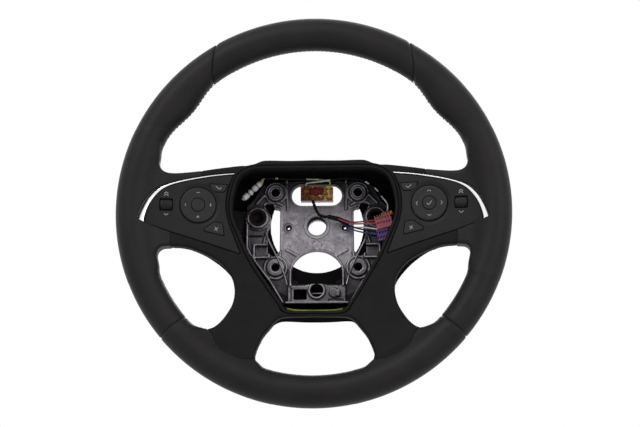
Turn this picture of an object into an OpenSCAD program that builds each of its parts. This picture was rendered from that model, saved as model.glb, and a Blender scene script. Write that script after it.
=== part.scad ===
// Four-spoke car steering wheel without its airbag module.
// The shapes are drawn lying on their back: x to the right, y up the wheel face,
// z toward the driver. upright() then stands the wheel up, facing -Y.
// The origin is the middle of the column bore in the hub plate.

/* [Rim] */
// Outer diameter of the rim
rim_d = 380; // [360:1:400]
// Width of the rim grip across the face
rim_w = 31.6; // [28:0.2:36]
// Depth of the rim grip, front to back
rim_depth = 33; // [29:0.2:37]
// How far the rim's middle plane stands before the column bore
dish = 88; // [80:1:100]
// How far the thumb grips bulge toward the hub
grip_bulge = 6; // [0:0.5:8]
// Thickness of the leather
leather_t = 1.2; // [0.8:0.1:1.8]
// Gap left by a seam between two leathers
seam_gap = 0.3; // [0.2:0.05:0.6]
// Angle of the upper seams above the horizontal
seam_up = 57; // [52:1:62]
// Angle of the lower seams below the horizontal
seam_low = 40.3; // [38:0.1:42]

/* [Spokes and hub] */
// Height of the hub's top edge above the bore
hub_top = 50; // [48:0.5:54]
// Depth of the hub's bottom edge below the bore
hub_bottom = 105; // [103:0.5:110]
// Height of the side spokes' top edge at the rim
spoke_top = 38.4; // [36:0.2:42]
// Depth of the side spokes' lower edge at the rim
spoke_low = 34.5; // [32:0.2:37]
// How far the hub lip lies behind the rim's middle plane
lip_set = 9; // [6:0.5:12]
// Height of the raised lip round the hub cavity
lip_rise = 1.2; // [0.6:0.1:2]
// Width of that lip
lip_w = 5.6; // [4.5:0.1:6]
// Wall of the plastic mouldings
wall = 2.4; // [2:0.1:3]
// Gap between neighbouring mouldings
fit_gap = 0.3; // [0.2:0.05:0.5]
// Radius of the round hole in the back cover
cover_hole_r = 46; // [42:0.5:48]

/* [Casting] */
// Thickness of the hub plate
plate_t = 6; // [5:0.2:8]
// Front face of the hub plate before the bore's middle
plate_front = 8; // [7:0.2:10]
// Height of the rib along the plate's edge
edge_rib_h = 5; // [3:0.2:8]
// Width of the ribs
rib_w = 2.2; // [1.6:0.1:3]
// Width of the spoke arms
arm_w = 26; // [20:0.5:30]
// Thickness of an arm's web
arm_t = 5; // [4:0.2:7]
// Height of an arm with its ribs
arm_h = 7; // [6:0.2:8]
// Width of the rim rod
rod_w = 10; // [8:0.2:12]
// Spacing of the two puller holes
puller_gap = 56; // [54:0.5:58]
// Radius of the puller holes
puller_r = 3; // [2.4:0.1:3.4]
// Width between the module holes
module_w = 82; // [80:0.5:84]
// Height between the module holes
module_h = 75.5; // [74:0.5:77]
// Height of the middle between the module holes
module_mid = -4.25; // [-5:0.25:-3]
// Radius of the module holes
module_r = 4; // [3.4:0.1:4.4]

/* [Column seat] */
// Radius of the column bore
bore_r = 9.2; // [8.5:0.1:9.6]
// Length of the bore's smooth stretch
bore_len = 13; // [11:0.5:14]
// Outer radius of the steel insert
insert_r = 12.6; // [12.4:0.1:14]
// Radius at the tips of the spline's teeth
spline_r = 10.2; // [9.9:0.05:10.6]
// Depth of the spline's grooves
tooth_h = 0.9; // [0.6:0.05:1.1]
// Teeth of the spline
teeth = 36; // [24:1:40]
// How far the insert reaches behind the bore's middle
insert_back = 22; // [18:0.5:26]

/* [Switches] */
// Tilt of the switch panels, outer end toward the driver
panel_tilt = 7.7; // [5:0.1:9]
// Depth of the switch panels
panel_h = 8; // [7:0.2:9]
// Radius of the round pads
pad_r = 17.2; // [16:0.1:18]
// Radius of the button in a pad's middle
centre_r = 6.4; // [5.5:0.1:7]
// Width of a roller
roller_w = 11.6; // [10:0.1:12]
// Radius of a roller
roller_r = 5.4; // [4.8:0.1:5.8]
// Travel of a pressed button
press = 0.8; // [0.5:0.1:1]
// Gap round a moving switch
switch_gap = 0.4; // [0.3:0.05:0.6]
// How far the switches stand before the panel
switch_rise = 0.9; // [0.6:0.1:1.4]
// Width of the chrome strips at their wide end
chrome_w = 6; // [4.5:0.1:7]

/* [Hidden] */
$fn = 64;

// Derived places
half_w = rim_w / 2;
half_d = rim_depth / 2;
rim_r = rim_d / 2 - half_w;
rim_in = rim_r - half_w;
rod_r = rim_r + 2;
lip_z = dish - lip_set;
plate_back = plate_front - plate_t;
drawn_in = 158.4;   // inner radius of the rim that the outlines below were drawn to
grow = rim_in / drawn_in;   // scale of everything that is drawn, so that it follows the rim
step = 4;           // degrees between the rings of a swept leather
ring_n = 20;        // points of the rim's section

// Points on a smooth curve through the given ones
function bend(a, b, c, d, t) =
    0.5 * (2 * b + (c - a) * t + (2 * a - 5 * b + 4 * c - d) * t * t + (3 * b - a - 3 * c + d) * t * t * t);
function curve(p, n = 4) = let (last = len(p) - 1) concat(
    [for (i = [0:last - 1], k = [0:n - 1])
        bend(p[max(i - 1, 0)], p[i], p[i + 1], p[min(i + 2, last)], k / n)],
    [p[last]]);

module upright() { rotate([90, 0, 0]) children(); }
module prism(z0, z1) { translate([0, 0, z0]) linear_extrude(z1 - z0) children(); }
module both() {
    children();
    mirror([1, 0, 0]) children();
}

// Outlines of the face
top = hub_top / grow;
foot = hub_bottom / grow;
high = spoke_top / grow;
low = spoke_low / grow;
top_edge = grow * [[0, top + 0.3], [43, top], [57, top - 2.3], [80, top - 6], [112, high + 1.8],
    [134, high], [144, high + 1.6], [149.4, high + 8], [150, high + 17], [158, 72]];
low_side_edge = grow * [[158, -62], [150, -54], [150.4, -low - 8.5], [147, -low - 2], [140, -low],
    [122, -low - 0.6], [107, -41.5], [92, -51], [79.5, -62.5], [74.8, -74.5], [76, -88], [80.5, -99.5],
    [87.5, -109.3], [95, -114.6], [102, -115.4], [109, -114], [120, -116]];
bottom_edge = grow * [[62, -153], [51.5, -149.5], [55.5, -143.5], [57, -136], [52, -123.5], [46, -115],
    [39, -foot - 3], [28, -foot - 0.6], [0, -foot]];
cavity_edge = grow * [[0, top - 7.4], [48, top - 7.4], [64, top - 9.6], [73, 32], [77.5, 16], [78.3, 3],
    [76, -8], [71.7, -18], [66.7, -30], [60, -45], [46, -68.5], [33.5, -88], [27, -foot + 9.6],
    [0, -foot + 9.2]];
chrome_outer = grow * curve([[76.5, 36.8], [95, 35], [113.8, 32.3], [137, 26.8], [157, 13.5], [169, -7.5]]);
panel_edge = concat(chrome_outer,
    grow * curve([[168.4, -9.2], [140, -18.8], [112.5, -26.9], [89, -34.2], [70.2, -40.4]]),
    grow * curve([[70.2, -40], [76.5, -24], [81.8, -10], [84.6, 4], [84, 18], [80.5, 30], [76.5, 36.8]]));
chrome_inner = grow * curve([[76.5, 35.6], [95, 33.4], [113.5, 30], [135, 23], [152, 10.6], [162.6, -7.4]]);

// The hub with its four spokes, one half, up to inside the rim
module half_spider() polygon(concat(curve(top_edge), curve(low_side_edge), curve(bottom_edge)));
module spider() both() half_spider();
module cavity() both() polygon(curve(cavity_edge));
module panel_zone() polygon(panel_edge);

// What of the spokes belongs to the leather: the roots beyond the seams
module side_root_zone(gap = 0)
    translate([gap, 0]) polygon(grow * [[107.6, 80], [107.6, 20], [137, -12], [137, -60],
        [250, -90], [250, 80]]);
seam_arc = grow * curve([[112, -106], [97, -117], [88, -133], [68, -142.6], [50, -142.6], [38, -140]]);
module low_root_zone(gap = 0)
    offset(delta = -gap) polygon(concat(seam_arc, grow * [[38, -230], [200, -230], [200, -106]]));
module root_zones() {
    side_root_zone();
    low_root_zone();
}
// The outline that a moulding's wall follows: past the seams it stays open
module with_roots() {
    spider();
    both() root_zones();
}

// Levels of the spokes, turned about the wheel's axis
function level(p) = curve([for (q = p) [grow * q[0], q[1]]], 2);
front_level = level([[0, lip_z], [70, lip_z], [86, lip_z + 0.8], [110, lip_z + 4.5], [140, dish + 1],
    [158, dish + 6.5], [172, dish + 9]]);
part_level = level([[0, lip_z - 17], [70, lip_z - 17], [86, lip_z - 16], [110, dish - 21], [140, dish - 13],
    [158, dish - 9], [172, dish - 7]]);
cover_back = -1.2;
back_level = concat([[0, cover_back]], level([[86, cover_back], [93, 4.5], [99, 16], [105, 32], [114, 49],
    [130, dish - 26], [150, dish - 20], [172, dish - 14]]));
function raised(p, dz) = [for (q = p) [q[0], q[1] + dz]];
function turned_back(p) = [for (i = [len(p) - 1:-1:0]) p[i]];
module between(low, high) { rotate_extrude() polygon(concat(low, turned_back(high))); }

// Rim
grip_at = 40;       // angle of a thumb grip's middle above the horizontal
grip_half = 14;     // half the angle that it takes
function swell(a) = let (t = abs(min(abs(a - grip_at), abs(180 - a - grip_at))) / grip_half)
    t < 1 ? grip_bulge * (1 + cos(180 * t)) / 2 : 0;
// The rim's section at an angle from the horizontal, seen along the rim
function section(inset, bulge = 0) = [for (k = [0:ring_n - 1]) let (t = 360 * k / ring_n, c = cos(t))
    [rim_r + c * ((c < 0 ? half_w + bulge : half_w) - inset), dish - sin(t) * (half_d - inset)]];
function spread(a0, a1, steps) = [for (i = [0:steps]) a0 + (a1 - a0) * i / steps];
function without_last(v) = [for (i = [0:len(v) - 2]) v[i]];
side_angles = spread(-seam_low, seam_up, round((seam_up + seam_low) / step));
ring_angles = concat(without_last(side_angles), without_last(spread(seam_up, 180 - seam_up, 12)),
    without_last(spread(180 - seam_up, 180 + seam_low, len(side_angles) - 1)),
    without_last(spread(180 + seam_low, 360 - seam_low, 18)));
// The rim with its thumb grips as flat-sided rings at the given angles, open or all the way round
module swept(angles, inset, closed = false) {
    rings = len(angles);
    points = [for (a = angles, p = section(inset, swell(a))) [p[0] * cos(a), p[0] * sin(a), p[1]]];
    ends = closed ? [] : [
        [for (k = [0:ring_n - 1]) k],
        [for (k = [ring_n - 1:-1:0]) (rings - 1) * ring_n + k]];
    faces = concat(ends,
        [for (i = [0:rings - (closed ? 1 : 2)], k = [0:ring_n - 1])
            let (j = (i + 1) % rings, k2 = (k + 1) % ring_n)
                [i * ring_n + k, j * ring_n + k, j * ring_n + k2, i * ring_n + k2]]);
    polyhedron(points, faces, convexity = 6);
}
module turned_arc(a0, a1, inset) {
    rotate([0, 0, a0]) rotate_extrude(angle = a1 - a0) polygon(section(inset));
}
// The spoke roots that the leather covers
module root(inset, gap, low) {
    intersection() {
        prism(0, dish + 20) intersection() {
            offset(delta = -inset) half_spider();
            if (low) low_root_zone(gap); else side_root_zone(gap);
            circle(r = rim_r + 2, $fn = 128);
        }
        between(raised(back_level, inset), raised(front_level, -inset));
    }
}
module panel_pocket(gap) {
    on_panel() translate([0, 0, -panel_h - gap]) linear_extrude(panel_h + 30)
        offset(delta = gap) panel_zone();
}
module leather_side() {
    color("#3b3a3d") difference() {
        union() {
            swept(side_angles, 0);
            root(0, fit_gap, false);
        }
        swept(side_angles, leather_t);
        root(leather_t, 0, false);
        panel_pocket(fit_gap);
        arm_room(arm_side);
    }
}
module leather_right() { upright() leather_side(); }
module leather_left() { upright() mirror([1, 0, 0]) leather_side(); }
seam_a = asin(seam_gap / rim_r);
module leather_top() {
    upright() color("#3b3a3d") difference() {
        turned_arc(seam_up + seam_a, 180 - seam_up - seam_a, 0);
        turned_arc(seam_up, 180 - seam_up, leather_t);
    }
}
module leather_bottom() {
    upright() color("#3b3a3d") difference() {
        union() {
            turned_arc(180 + seam_low + seam_a, 360 - seam_low - seam_a, 0);
            both() root(0, fit_gap, true);
        }
        turned_arc(180 + seam_low, 360 - seam_low, leather_t);
        both() root(leather_t, 0, true);
        both() arm_room(arm_low);
    }
}
module rim_foam() {
    upright() color("#8d8a80") difference() {
        union() {
            swept(ring_angles, leather_t, true);
            both() {
                root(leather_t, 0, false);
                root(leather_t, 0, true);
            }
        }
        both() {
            panel_pocket(fit_gap);
            on_panel() at_roller() cylinder(r = roller_r + 1.4, h = roller_w + 1, center = true);
        }
        casting_arms();
    }
}

// Mouldings
// A moulding between two levels over an outline, hollow from behind
cover_inset = 1.2;   // how far the back cover stays inside the spokes' edges
module face_left_open() {
    both() offset(delta = fit_gap) panel_zone();
    cavity();
}
module front_bezel() {
    upright() color("#353437") difference() {
        union() {
            intersection() {
                prism(0, dish + 20) difference() {
                    spider();
                    face_left_open();
                    both() root_zones();
                }
                between(part_level, front_level);
            }
            prism(lip_z - 12, lip_z + lip_rise) difference() {
                offset(r = lip_w) cavity();
                cavity();
            }
        }
        turned_arc(180 + seam_low, 360 - seam_low, -fit_gap);
        intersection() {
            prism(0, dish + 20) offset(delta = -wall) difference() {
                with_roots();
                face_left_open();
            }
            between(raised(part_level, -40), raised(front_level, -wall));
        }
    }
}
module back_cover() {
    upright() color("#2a2a2c") difference() {
        intersection() {
            prism(-10, dish + 20) difference() {
                offset(delta = -cover_inset) spider();
                both() root_zones();
            }
            between(back_level, raised(part_level, -fit_gap));
        }
        intersection() {
            prism(-10, dish + 20) offset(delta = -cover_inset - wall) with_roots();
            between(raised(back_level, wall), raised(part_level, 20));
        }
        cylinder(r = cover_hole_r, h = 60, center = true, $fn = 128);
        screw_places() cylinder(r = screw_r + 0.2, h = 20, center = true);
    }
}

// Casting
plate_edge = grow * [[0, top - 4], [44, top - 4.6], [54, top - 9], [64, 26], [70, 20], [70.5, -22],
    [66, -31], [46.8, -57], [34, -78.6], [0, -78.6]];
side_window = grow * [[37, 17], [41, 25.5], [48, 25.5], [49.5, 21], [46.4, 15], [45.6, 8], [46.4, 1],
    [49, -6], [49, -27], [43, -31], [37, -25]];
mid_boss = grow * [58.5, 8];
upper_boss = [module_w / 2, module_mid + module_h / 2];
lower_boss = [module_w / 2, module_mid - module_h / 2];
oblong_w = 50;
oblong_h = 20.5;
oblong_z = 31;
screw_r = 1.6;
module screw_places() both() {
    translate(grow * [62, -22, 0]) children();
    translate(grow * [37, -68, 0]) children();
}
module plate_outline() both() polygon(plate_edge);
module windows() {
    hull() both() translate([(oblong_w - oblong_h) / 2, oblong_z]) circle(d = oblong_h);
    both() polygon(side_window);
    // arched lower window
    intersection() {
        translate([0, -52.4]) circle(r = 27);
        translate([-25, -59]) square([50, 40]);
    }
    // square hole beside the lower boss
    translate([-22.8, -74.4]) square([12.6, 9.9]);
    translate([0, -65.7]) circle(r = 6.3);
}
module plate_solids() {
    prism(plate_back, plate_front) plate_outline();
    // rib along the plate's lower edges
    prism(plate_back, plate_front + edge_rib_h) intersection() {
        difference() {
            plate_outline();
            offset(delta = -rib_w) plate_outline();
        }
        translate([-80, -80]) square([160, 90]);
    }
    both() bosses();
    lower_bracket();
    clip_pockets();
    both() {
        // upright tabs at the top edge, then ribs beside the windows and down to the lower bosses
        translate([28, hub_top - 7.4, plate_back]) cube([3, 3, plate_t + 9]);
        rib([30, hub_top - 5], [29, 17], 1.4);
        rib([34, 21], [47, 28], 2.5);
        rib([49.5, 21], [52, 18], 2.5);
        rib([36, -26], [37, -34], 1.4);
        rib([25 + rib_w / 2, -44], [25 + rib_w / 2, -60], edge_rib_h);
    }
}
module plate_holes() {
    prism(-5, 55) {
        windows();
        both() {
            translate(upper_boss) circle(r = module_r);
            translate(lower_boss) circle(r = module_r);
            translate(mid_boss) circle(r = bushing_r);
            translate([puller_gap / 2, -2]) circle(r = puller_r);
        }
        circle(r = insert_r);
    }
    screw_places() translate([0, 0, -5]) cylinder(r = screw_r, h = 10.5);
    // ejector mark
    translate([0, -19.5, plate_front - 0.3]) difference() {
        cylinder(r = 4.8, h = 5);
        cylinder(r = 4.2, h = 5);
    }
}
bushing_r = 7.4;
module bosses() {
    boss(upper_boss, [[11, 1.5], [8, 5]]);
    boss(lower_boss, [[12, 2], [8.6, 4]]);
    boss(mid_boss, [[12.4, 2], [10.6, 5]]);
    boss([puller_gap / 2, -2], [[4.4, 0.8]]);
}
module boss(at, rings) {
    for (ring = rings) translate([at[0], at[1], plate_back]) cylinder(r = ring[0], h = plate_t + ring[1]);
}
module rib(a, b, h) {
    l = norm(b - a);
    translate([a[0], a[1], plate_back]) rotate([0, 0, atan2(b[1] - a[1], b[0] - a[0])])
        translate([0, -rib_w / 2, 0]) cube([l, rib_w, plate_t + h]);
}
module lower_bracket() {
    prism(plate_back, plate_front + 4) {
        translate([-28.6, -78]) square([57.2, 17.5]);
        translate([0, -65.7]) circle(r = 10);
    }
    translate([0, -65.7, plate_back]) cylinder(r = 8.6, h = plate_t + 6);
    // moulded bump with its nib
    translate([17, -67.8, plate_front + 3]) cylinder(r1 = 5.4, r2 = 2.6, h = 3.6);
    translate([19.5, -71.5, plate_front + 3]) cube([3.4, 6.4, 4.4]);
    // bar across the lower boss
    translate([-8, -68.6, plate_back + 1]) cube([16, 1.8, 4]);
}
module clip_pockets() both() translate([46.5, -33, plate_back]) difference() {
    cube([17, 15, plate_t + edge_rib_h]);
    translate([rib_w, rib_w, plate_t - 2]) cube([17 - 2 * rib_w, 15 - 2 * rib_w, 20]);
}
// An arm from the plate to the rim rod: a bent web with a rib along each edge
function arm_line(r0) = curve([[grow * (r0 - 12), plate_back], [grow * r0, plate_back],
    [grow * (r0 + 13), plate_back + 5], [grow * (r0 + 24), 28], [grow * (r0 + 38), dish - 38],
    [grow * 130, dish - 21], [grow * 150, dish - 16], [grow * 162, dish - 12.5], [rod_r - 2, dish - 7]]);
arm_side = [0, 66, 2];       // angle, radius where it leaves the plate, shift to one side
arm_low = [-59.5, 70, 0];
module along_arm(a) { rotate([0, 0, a[0]]) translate([0, a[2], 0]) rotate([90, 0, 0]) children(); }
// The room that a leather cover leaves where an arm runs through it into the rim
module arm_room(a) {
    line = raised(arm_line(a[1]), -fit_gap);
    along_arm(a) linear_extrude(arm_w + 2 * fit_gap, center = true)
        polygon(concat(line, turned_back(raised(line, arm_h + 2 * fit_gap))));
}
module arm(a) {
    line = arm_line(a[1]);
    along_arm(a) {
        linear_extrude(arm_w, center = true) polygon(concat(line, turned_back(raised(line, arm_t))));
        for (s = [-1, 1]) translate([0, 0, s * (arm_w - rib_w) / 2]) linear_extrude(rib_w, center = true)
            polygon(concat(line, turned_back(raised(line, arm_h))));
    }
}
module rim_rod() {
    rotate_extrude() difference() {
        translate([rod_r - rod_w / 2, dish - 7]) square([rod_w, 12]);
        translate([rod_r - rod_w / 2 + 2.4, dish - 8]) square([rod_w - 4.8, 8]);
    }
}
module casting_arms() {
    both() {
        arm(arm_side);
        arm(arm_low);
    }
    rim_rod();
}
module armature() {
    upright() color("#b9b4ba") difference() {
        union() {
            plate_solids();
            difference() {
                casting_arms();
                translate([0, 0, -5]) cylinder(r = grow * 56, h = 40);
            }
        }
        plate_holes();
    }
}
// Steel insert with the column bore in front and the spline behind it
module spline_bushing() {
    bore_front = bore_len / 2 + 0.5;
    upright() color("#8c8c90") difference() {
        union() {
            translate([0, 0, -insert_back]) cylinder(r = insert_r, h = insert_back + plate_front);
            // flange behind the plate
            translate([0, 0, -insert_back])
                cylinder(r = insert_r + 3, h = insert_back + plate_back - fit_gap);
        }
        translate([0, 0, bore_front - bore_len]) cylinder(r = bore_r, h = bore_len);
        translate([0, 0, bore_front - 0.01]) cylinder(r = bore_r + 1, h = 10);
        translate([0, 0, -insert_back - 1]) linear_extrude(insert_back + 1 + bore_front - bore_len)
            polygon([for (k = [0:teeth * 4 - 1])
                let (a = 90 * k / teeth, r = k % 4 < 2 ? spline_r : spline_r + tooth_h)
                    [r * cos(a), r * sin(a)]]);
    }
}
module mid_bushings() {
    upright() color("#5d3a40") both() translate([mid_boss[0], mid_boss[1], 0]) difference() {
        union() {
            translate([0, 0, plate_back + 1]) cylinder(r = bushing_r - 0.05, h = plate_t + 4.2);
            translate([0, 0, plate_front + 5.05]) cylinder(r = bushing_r + 1.2, h = 0.8);
        }
        translate([0, 0, -1]) cylinder(r = 5.7, h = 30);
    }
}
module cover_screws() {
    upright() color("#6f6f73") screw_places() {
        translate([0, 0, cover_back - 2]) cylinder(r = 3.4, h = 2);
        translate([0, 0, -1.5]) cylinder(r = screw_r - 0.05, h = 6.5);
    }
}

// Switches
panel_pivot = [grow * 76, 0, lip_z + 0.8];
pad_at = grow * [111.4, 7];
roller_at = grow * [142, 7];
// Places its children in a right-hand panel's own plane; z is height above its face
module on_panel() {
    translate(panel_pivot) rotate([0, -panel_tilt, 0]) translate([-panel_pivot[0], 0, 0]) children();
}
upper_button = grow * [[82.6, 27.3], [100.8, 27.8], [97.4, 21.6], [93.4, 20.2], [86.4, 20.2]];
lower_button = grow * [[88, -10.6], [95.6, -9.4], [105.4, -16.6], [104.6, -18.6], [86.2, -22.6]];
module rounded(r) { offset(r = r, $fn = 24) offset(delta = -r) children(); }
module upper_shape() rounded(1.2) polygon(upper_button);
module lower_shape() rounded(1.2) polygon(lower_button);
module roller_slot(gap)
    translate(roller_at) square([roller_w + 2 * gap, 2 * (roller_r + gap)], center = true);
dish_r = pad_r + 3.8;   // radius of the ring that falls toward a pad
board_top = -panel_h + 1.4;
dome_h = 1.8;           // height of the dome switch under a key
key_low = board_top + dome_h + press;
key_top = switch_rise * 0.6;
module face_outline() difference() {
    panel_zone();
    chrome_shape(fit_gap);
}
module switch_panel() {
    color("#39383b") on_panel() difference() {
        translate([0, 0, -panel_h]) linear_extrude(panel_h) face_outline();
        // hollow behind the face
        translate([0, 0, -panel_h - 1]) linear_extrude(panel_h + 1 - wall)
            offset(delta = -wall) face_outline();
        // ring that falls toward the pad
        translate([pad_at[0], pad_at[1], -1]) cylinder(r1 = pad_r + 1.5, r2 = dish_r, h = 1.01);
        translate([0, 0, -panel_h - 2]) linear_extrude(panel_h + 4) {
            translate(pad_at) circle(r = pad_r + switch_gap);
            roller_slot(switch_gap);
            offset(delta = switch_gap) upper_shape();
            offset(delta = switch_gap) lower_shape();
        }
    }
}
chrome_end = grow * [168.6, -9.1];
module chrome_shape(gap) {
    offset(delta = gap)
        polygon(concat(chrome_outer, [chrome_end, chrome_end - [chrome_w, 1.9]], turned_back(chrome_inner)));
}
module chrome_strip() {
    color("#d6d6da") on_panel() translate([0, 0, -4]) linear_extrude(4.5) chrome_shape(0);
}
pad_top = switch_rise;
pad_t = 3;
ring_t = 1.6;
tilt_room = 0.75;   // between a pad and its carrier, for the pad's tilt
module pad() {
    color("#3d3c3f") on_panel() translate([pad_at[0], pad_at[1], pad_top - pad_t]) difference() {
        union() {
            cylinder(r = pad_r, h = pad_t - 0.8);
            translate([0, 0, pad_t - 0.8]) cylinder(r1 = pad_r, r2 = pad_r - 0.8, h = 0.8);
        }
        translate([0, 0, -1]) cylinder(r = centre_r + switch_gap, h = 10);
    }
}
ring_back = pad_top - pad_t - tilt_room - ring_t;
module pad_carrier() {
    color("#77777c") on_panel() translate([pad_at[0], pad_at[1], ring_back]) difference() {
        cylinder(r = centre_r + 5.6, h = ring_t);
        translate([0, 0, -1]) cylinder(r = centre_r + 2, h = 10);
    }
}
module centre_button() {
    color("#3d3c3f") on_panel() translate([pad_at[0], pad_at[1], pad_top - pad_t - 0.6]) {
        cylinder(r = centre_r, h = pad_t + 0.3);
        translate([0, 0, pad_t + 0.3]) cylinder(r1 = centre_r, r2 = centre_r - 0.5, h = 0.4);
    }
}
module at_roller() { translate([roller_at[0], roller_at[1], -roller_r + 2.2]) rotate([0, 90, 0]) children(); }
module roller() {
    color("#2e2d30") on_panel() at_roller() {
        difference() {
            cylinder(r = roller_r, h = roller_w, center = true);
            for (a = [0:20:340]) rotate([0, 0, a]) translate([roller_r + 0.3, 0, 0])
                cylinder(r = 0.7, h = roller_w - 2, center = true, $fn = 24);
        }
    }
}
module upper_key() {
    color("#3d3c3f") on_panel() translate([0, 0, key_low]) linear_extrude(key_top - key_low) upper_shape();
}
module lower_key() {
    color("#3d3c3f") on_panel() translate([0, 0, key_low]) linear_extrude(key_top - key_low) lower_shape();
}
module switch_board() {
    color("#2f5b3a") on_panel() translate([0, 0, board_top - 1.2]) linear_extrude(1.2) difference() {
        offset(delta = -wall - fit_gap) face_outline();
        roller_slot(1.2);
    }
}
module left_of() { upright() mirror([1, 0, 0]) children(); }
module switch_panel_right() { upright() switch_panel(); }
module switch_panel_left() { left_of() switch_panel(); }
module chrome_strip_right() { upright() chrome_strip(); }
module chrome_strip_left() { left_of() chrome_strip(); }
module pad_carrier_right() { upright() pad_carrier(); }
module pad_carrier_left() { left_of() pad_carrier(); }
module pad_right() { upright() pad(); }
module pad_left() { left_of() pad(); }
module centre_button_right() { upright() centre_button(); }
module centre_button_left() { left_of() centre_button(); }
module roller_right() { upright() roller(); }
module roller_left() { left_of() roller(); }
module button_right_upper() { upright() upper_key(); }
module button_left_upper() { left_of() upper_key(); }
module button_right_lower() { upright() lower_key(); }
module button_left_lower() { left_of() lower_key(); }
module switch_board_right() { upright() switch_board(); }
module switch_board_left() { left_of() switch_board(); }

// Wiring
// A place in the hub, moved with it
function spread_out(p) = [grow * p[0], grow * p[1], p[2]];
// A round wire through hand-picked points, as flat-sided rings
module tube(p, r, n = 8, per = 3) {
    line = curve([for (q = p) spread_out(q)], per);
    last = len(line) - 1;
    points = [for (i = [0:last]) let (
            t = line[min(i + 1, last)] - line[max(i - 1, 0)],
            u = cross(t, [0.13, 0.21, 1]), a = u / norm(u), w = cross(t, a), b = w / norm(w))
        for (k = [0:n - 1]) line[i] + r * (a * cos(360 * k / n) + b * sin(360 * k / n))];
    faces = concat(
        [[for (k = [0:n - 1]) k]],
        [[for (k = [n - 1:-1:0]) last * n + k]],
        [for (i = [0:last - 1], k = [0:n - 1]) let (k2 = (k + 1) % n)
            [i * n + k, (i + 1) * n + k, (i + 1) * n + k2, i * n + k2]]);
    polyhedron(points, faces, convexity = 8);
}
module box_at(middle, size, turn = 0) {
    translate(spread_out(middle)) rotate([0, 0, turn]) cube(size, center = true);
}
wire_r = 0.8;
block_size = [32, 19.2, 12.8];
block_mid = [0.5, 28.6, plate_front + fit_gap + block_size[2] / 2];
splice_a = [11.7, 7.2, 20];
splice_b = [22, 4.6, 20];
pink_mid = [67.2, 1, 29];
pink_size = [16.6, 12.4, 14];
plug_turn = 5;
module main_connector() {
    upright() color("#c49a45") difference() {
        box_at(block_mid, block_size);
        // lock slot and the row of open cells
        box_at(block_mid + [0.5, 5.6, 5], [13.2, 6.4, 6]);
        for (k = [0:6]) box_at(block_mid + [-13.2 + 4.4 * k, -6, 6.4], [2.8, 3.4, 4]);
    }
}
module connector_lock() { upright() color("#b0322c") box_at(block_mid + [0.5, 5.6, 5.4], [13, 6.2, 6.2]); }
module connector_pink() {
    upright() color("#d06a86") difference() {
        box_at(pink_mid, pink_size, plug_turn);
        for (k = [0:4]) box_at(pink_mid + [-5.6 + 2.8 * k, 4.2, 7], [1.6, 1.6, 3], plug_turn);
    }
}
module connector_orange() {
    upright() color("#e08a4a") box_at(pink_mid + [3, 8.2, 1], [11.5, 3.4, 11], plug_turn);
}
module connector_purple() {
    upright() color("#5b3f9e") box_at(pink_mid + [-0.5, -12.3, 0], [12.6, 11.4, 12], plug_turn);
}
white_a = [-72.2, 21.6, 36];
white_b = [-54.4, 38, 36];
module rod_between(a, b, r1, r2) {
    d = spread_out(b - a);
    translate(spread_out(a)) rotate([0, acos(d[2] / norm(d)), atan2(d[1], d[0])])
        cylinder(r1 = r1, r2 = r2, h = norm(d));
}
module connector_white() {
    upright() color("#e4e4e2") difference() {
        rod_between(white_a, white_b, 3.3, 3.3);
        // dark band groove
        difference() {
            rod_between(white_a + 0.52 * (white_b - white_a), white_a + 0.6 * (white_b - white_a), 4, 4);
            rod_between(white_a, white_b, 2.9, 2.9);
        }
    }
}
tip_end = white_b + [3.2, 4.8, 0];
module connector_tip() { upright() color("#cdb489") rod_between(white_b, tip_end, 2.9, 1.2); }
module harness_sleeve() {
    upright() color("#1d1d1f") tube([[-3.3, 23, 20.6], [-2.2, 19.5, 22.8], [-0.6, 14.8, 23.2],
        [2.2, 9.6, 22], [6.6, 7, 20.5], splice_a], 1.5);
}
module splice_joint() {
    upright() color("#19191b")
        box_at((splice_a + splice_b) / 2, [norm(splice_b - splice_a), 4.6, 4.6], -14);
}
module wire_red() {
    upright() color("#c8403a")
        tube([splice_b + [-0.2, 1.7, 0.5], [34.3, 1.4, 21], [46, 1.2, 23.4], [59, 1.6, 28]], wire_r);
}
module wire_pink() {
    upright() color("#d77f93")
        tube([splice_b + [-0.3, 0, 1.5], [34, -0.4, 22.6], [46, -1.2, 24.6], [59, -1.6, 29]], wire_r);
}
module wire_black() {
    upright() color("#202024")
        tube([splice_b + [-0.4, -1.7, 0.5], [33, -2.6, 21], [44, -6.2, 22.4], [61, -10, 27]], wire_r);
}
module wire_blue() {
    upright() color("#35538f")
        tube([splice_b + [-0.4, -1.1, -1.2], [32, -3.6, 18.6], [42, -8, 19.6], [61, -12.6, 26]], wire_r);
}
module wire_white() {
    upright() color("#dcdcd8")
        tube([splice_b + [-0.3, 1.1, -1.2], [35, -3, 18.8], [48, -4.6, 22.6], [61, -8, 30]], wire_r);
}
module wire_left() {
    upright() color("#d8d488") tube([[12, 37.8, 15], [13.4, 42.4, 19], [5, 43.6, 24], [-8, 43.6, 27],
        [-25, 43.2, 30], [-40, 43.2, 34], tip_end], wire_r);
}
module wire_right() {
    upright() color("#dedede") tube([[-9, 37.8, 15], [-9.4, 41, 19.6], [5, 41.2, 27.4], [20, 43, 30],
        [31, 43.2, 31], [43, 41.8, 31], [51, 38.6, 31], [59.6, 32, 31], [65.2, 24.6, 31], [70.5, 17, 31],
        pink_mid + [3.2, 9.4, 1]], wire_r);
}
module wire_bottom() {
    upright() color("#b5b83e") tube([[-38, -84.5, 33], [-30, -86, 31.4], [-20, -88, 30.4], [0, -88.6, 30.6],
        [20, -88, 30.4], [30, -86, 31.4], [38, -84.5, 33]], 1.1);
}
module module_spring() {
    color("#c9c9cc") tube([[51, -6, 11], [47.5, -16, 13.4], [40, -31, 13.6], [34.6, -43, 13.4],
        [31.4, -52, 12], [29.4, -60, 13]], 0.9);
}
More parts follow.
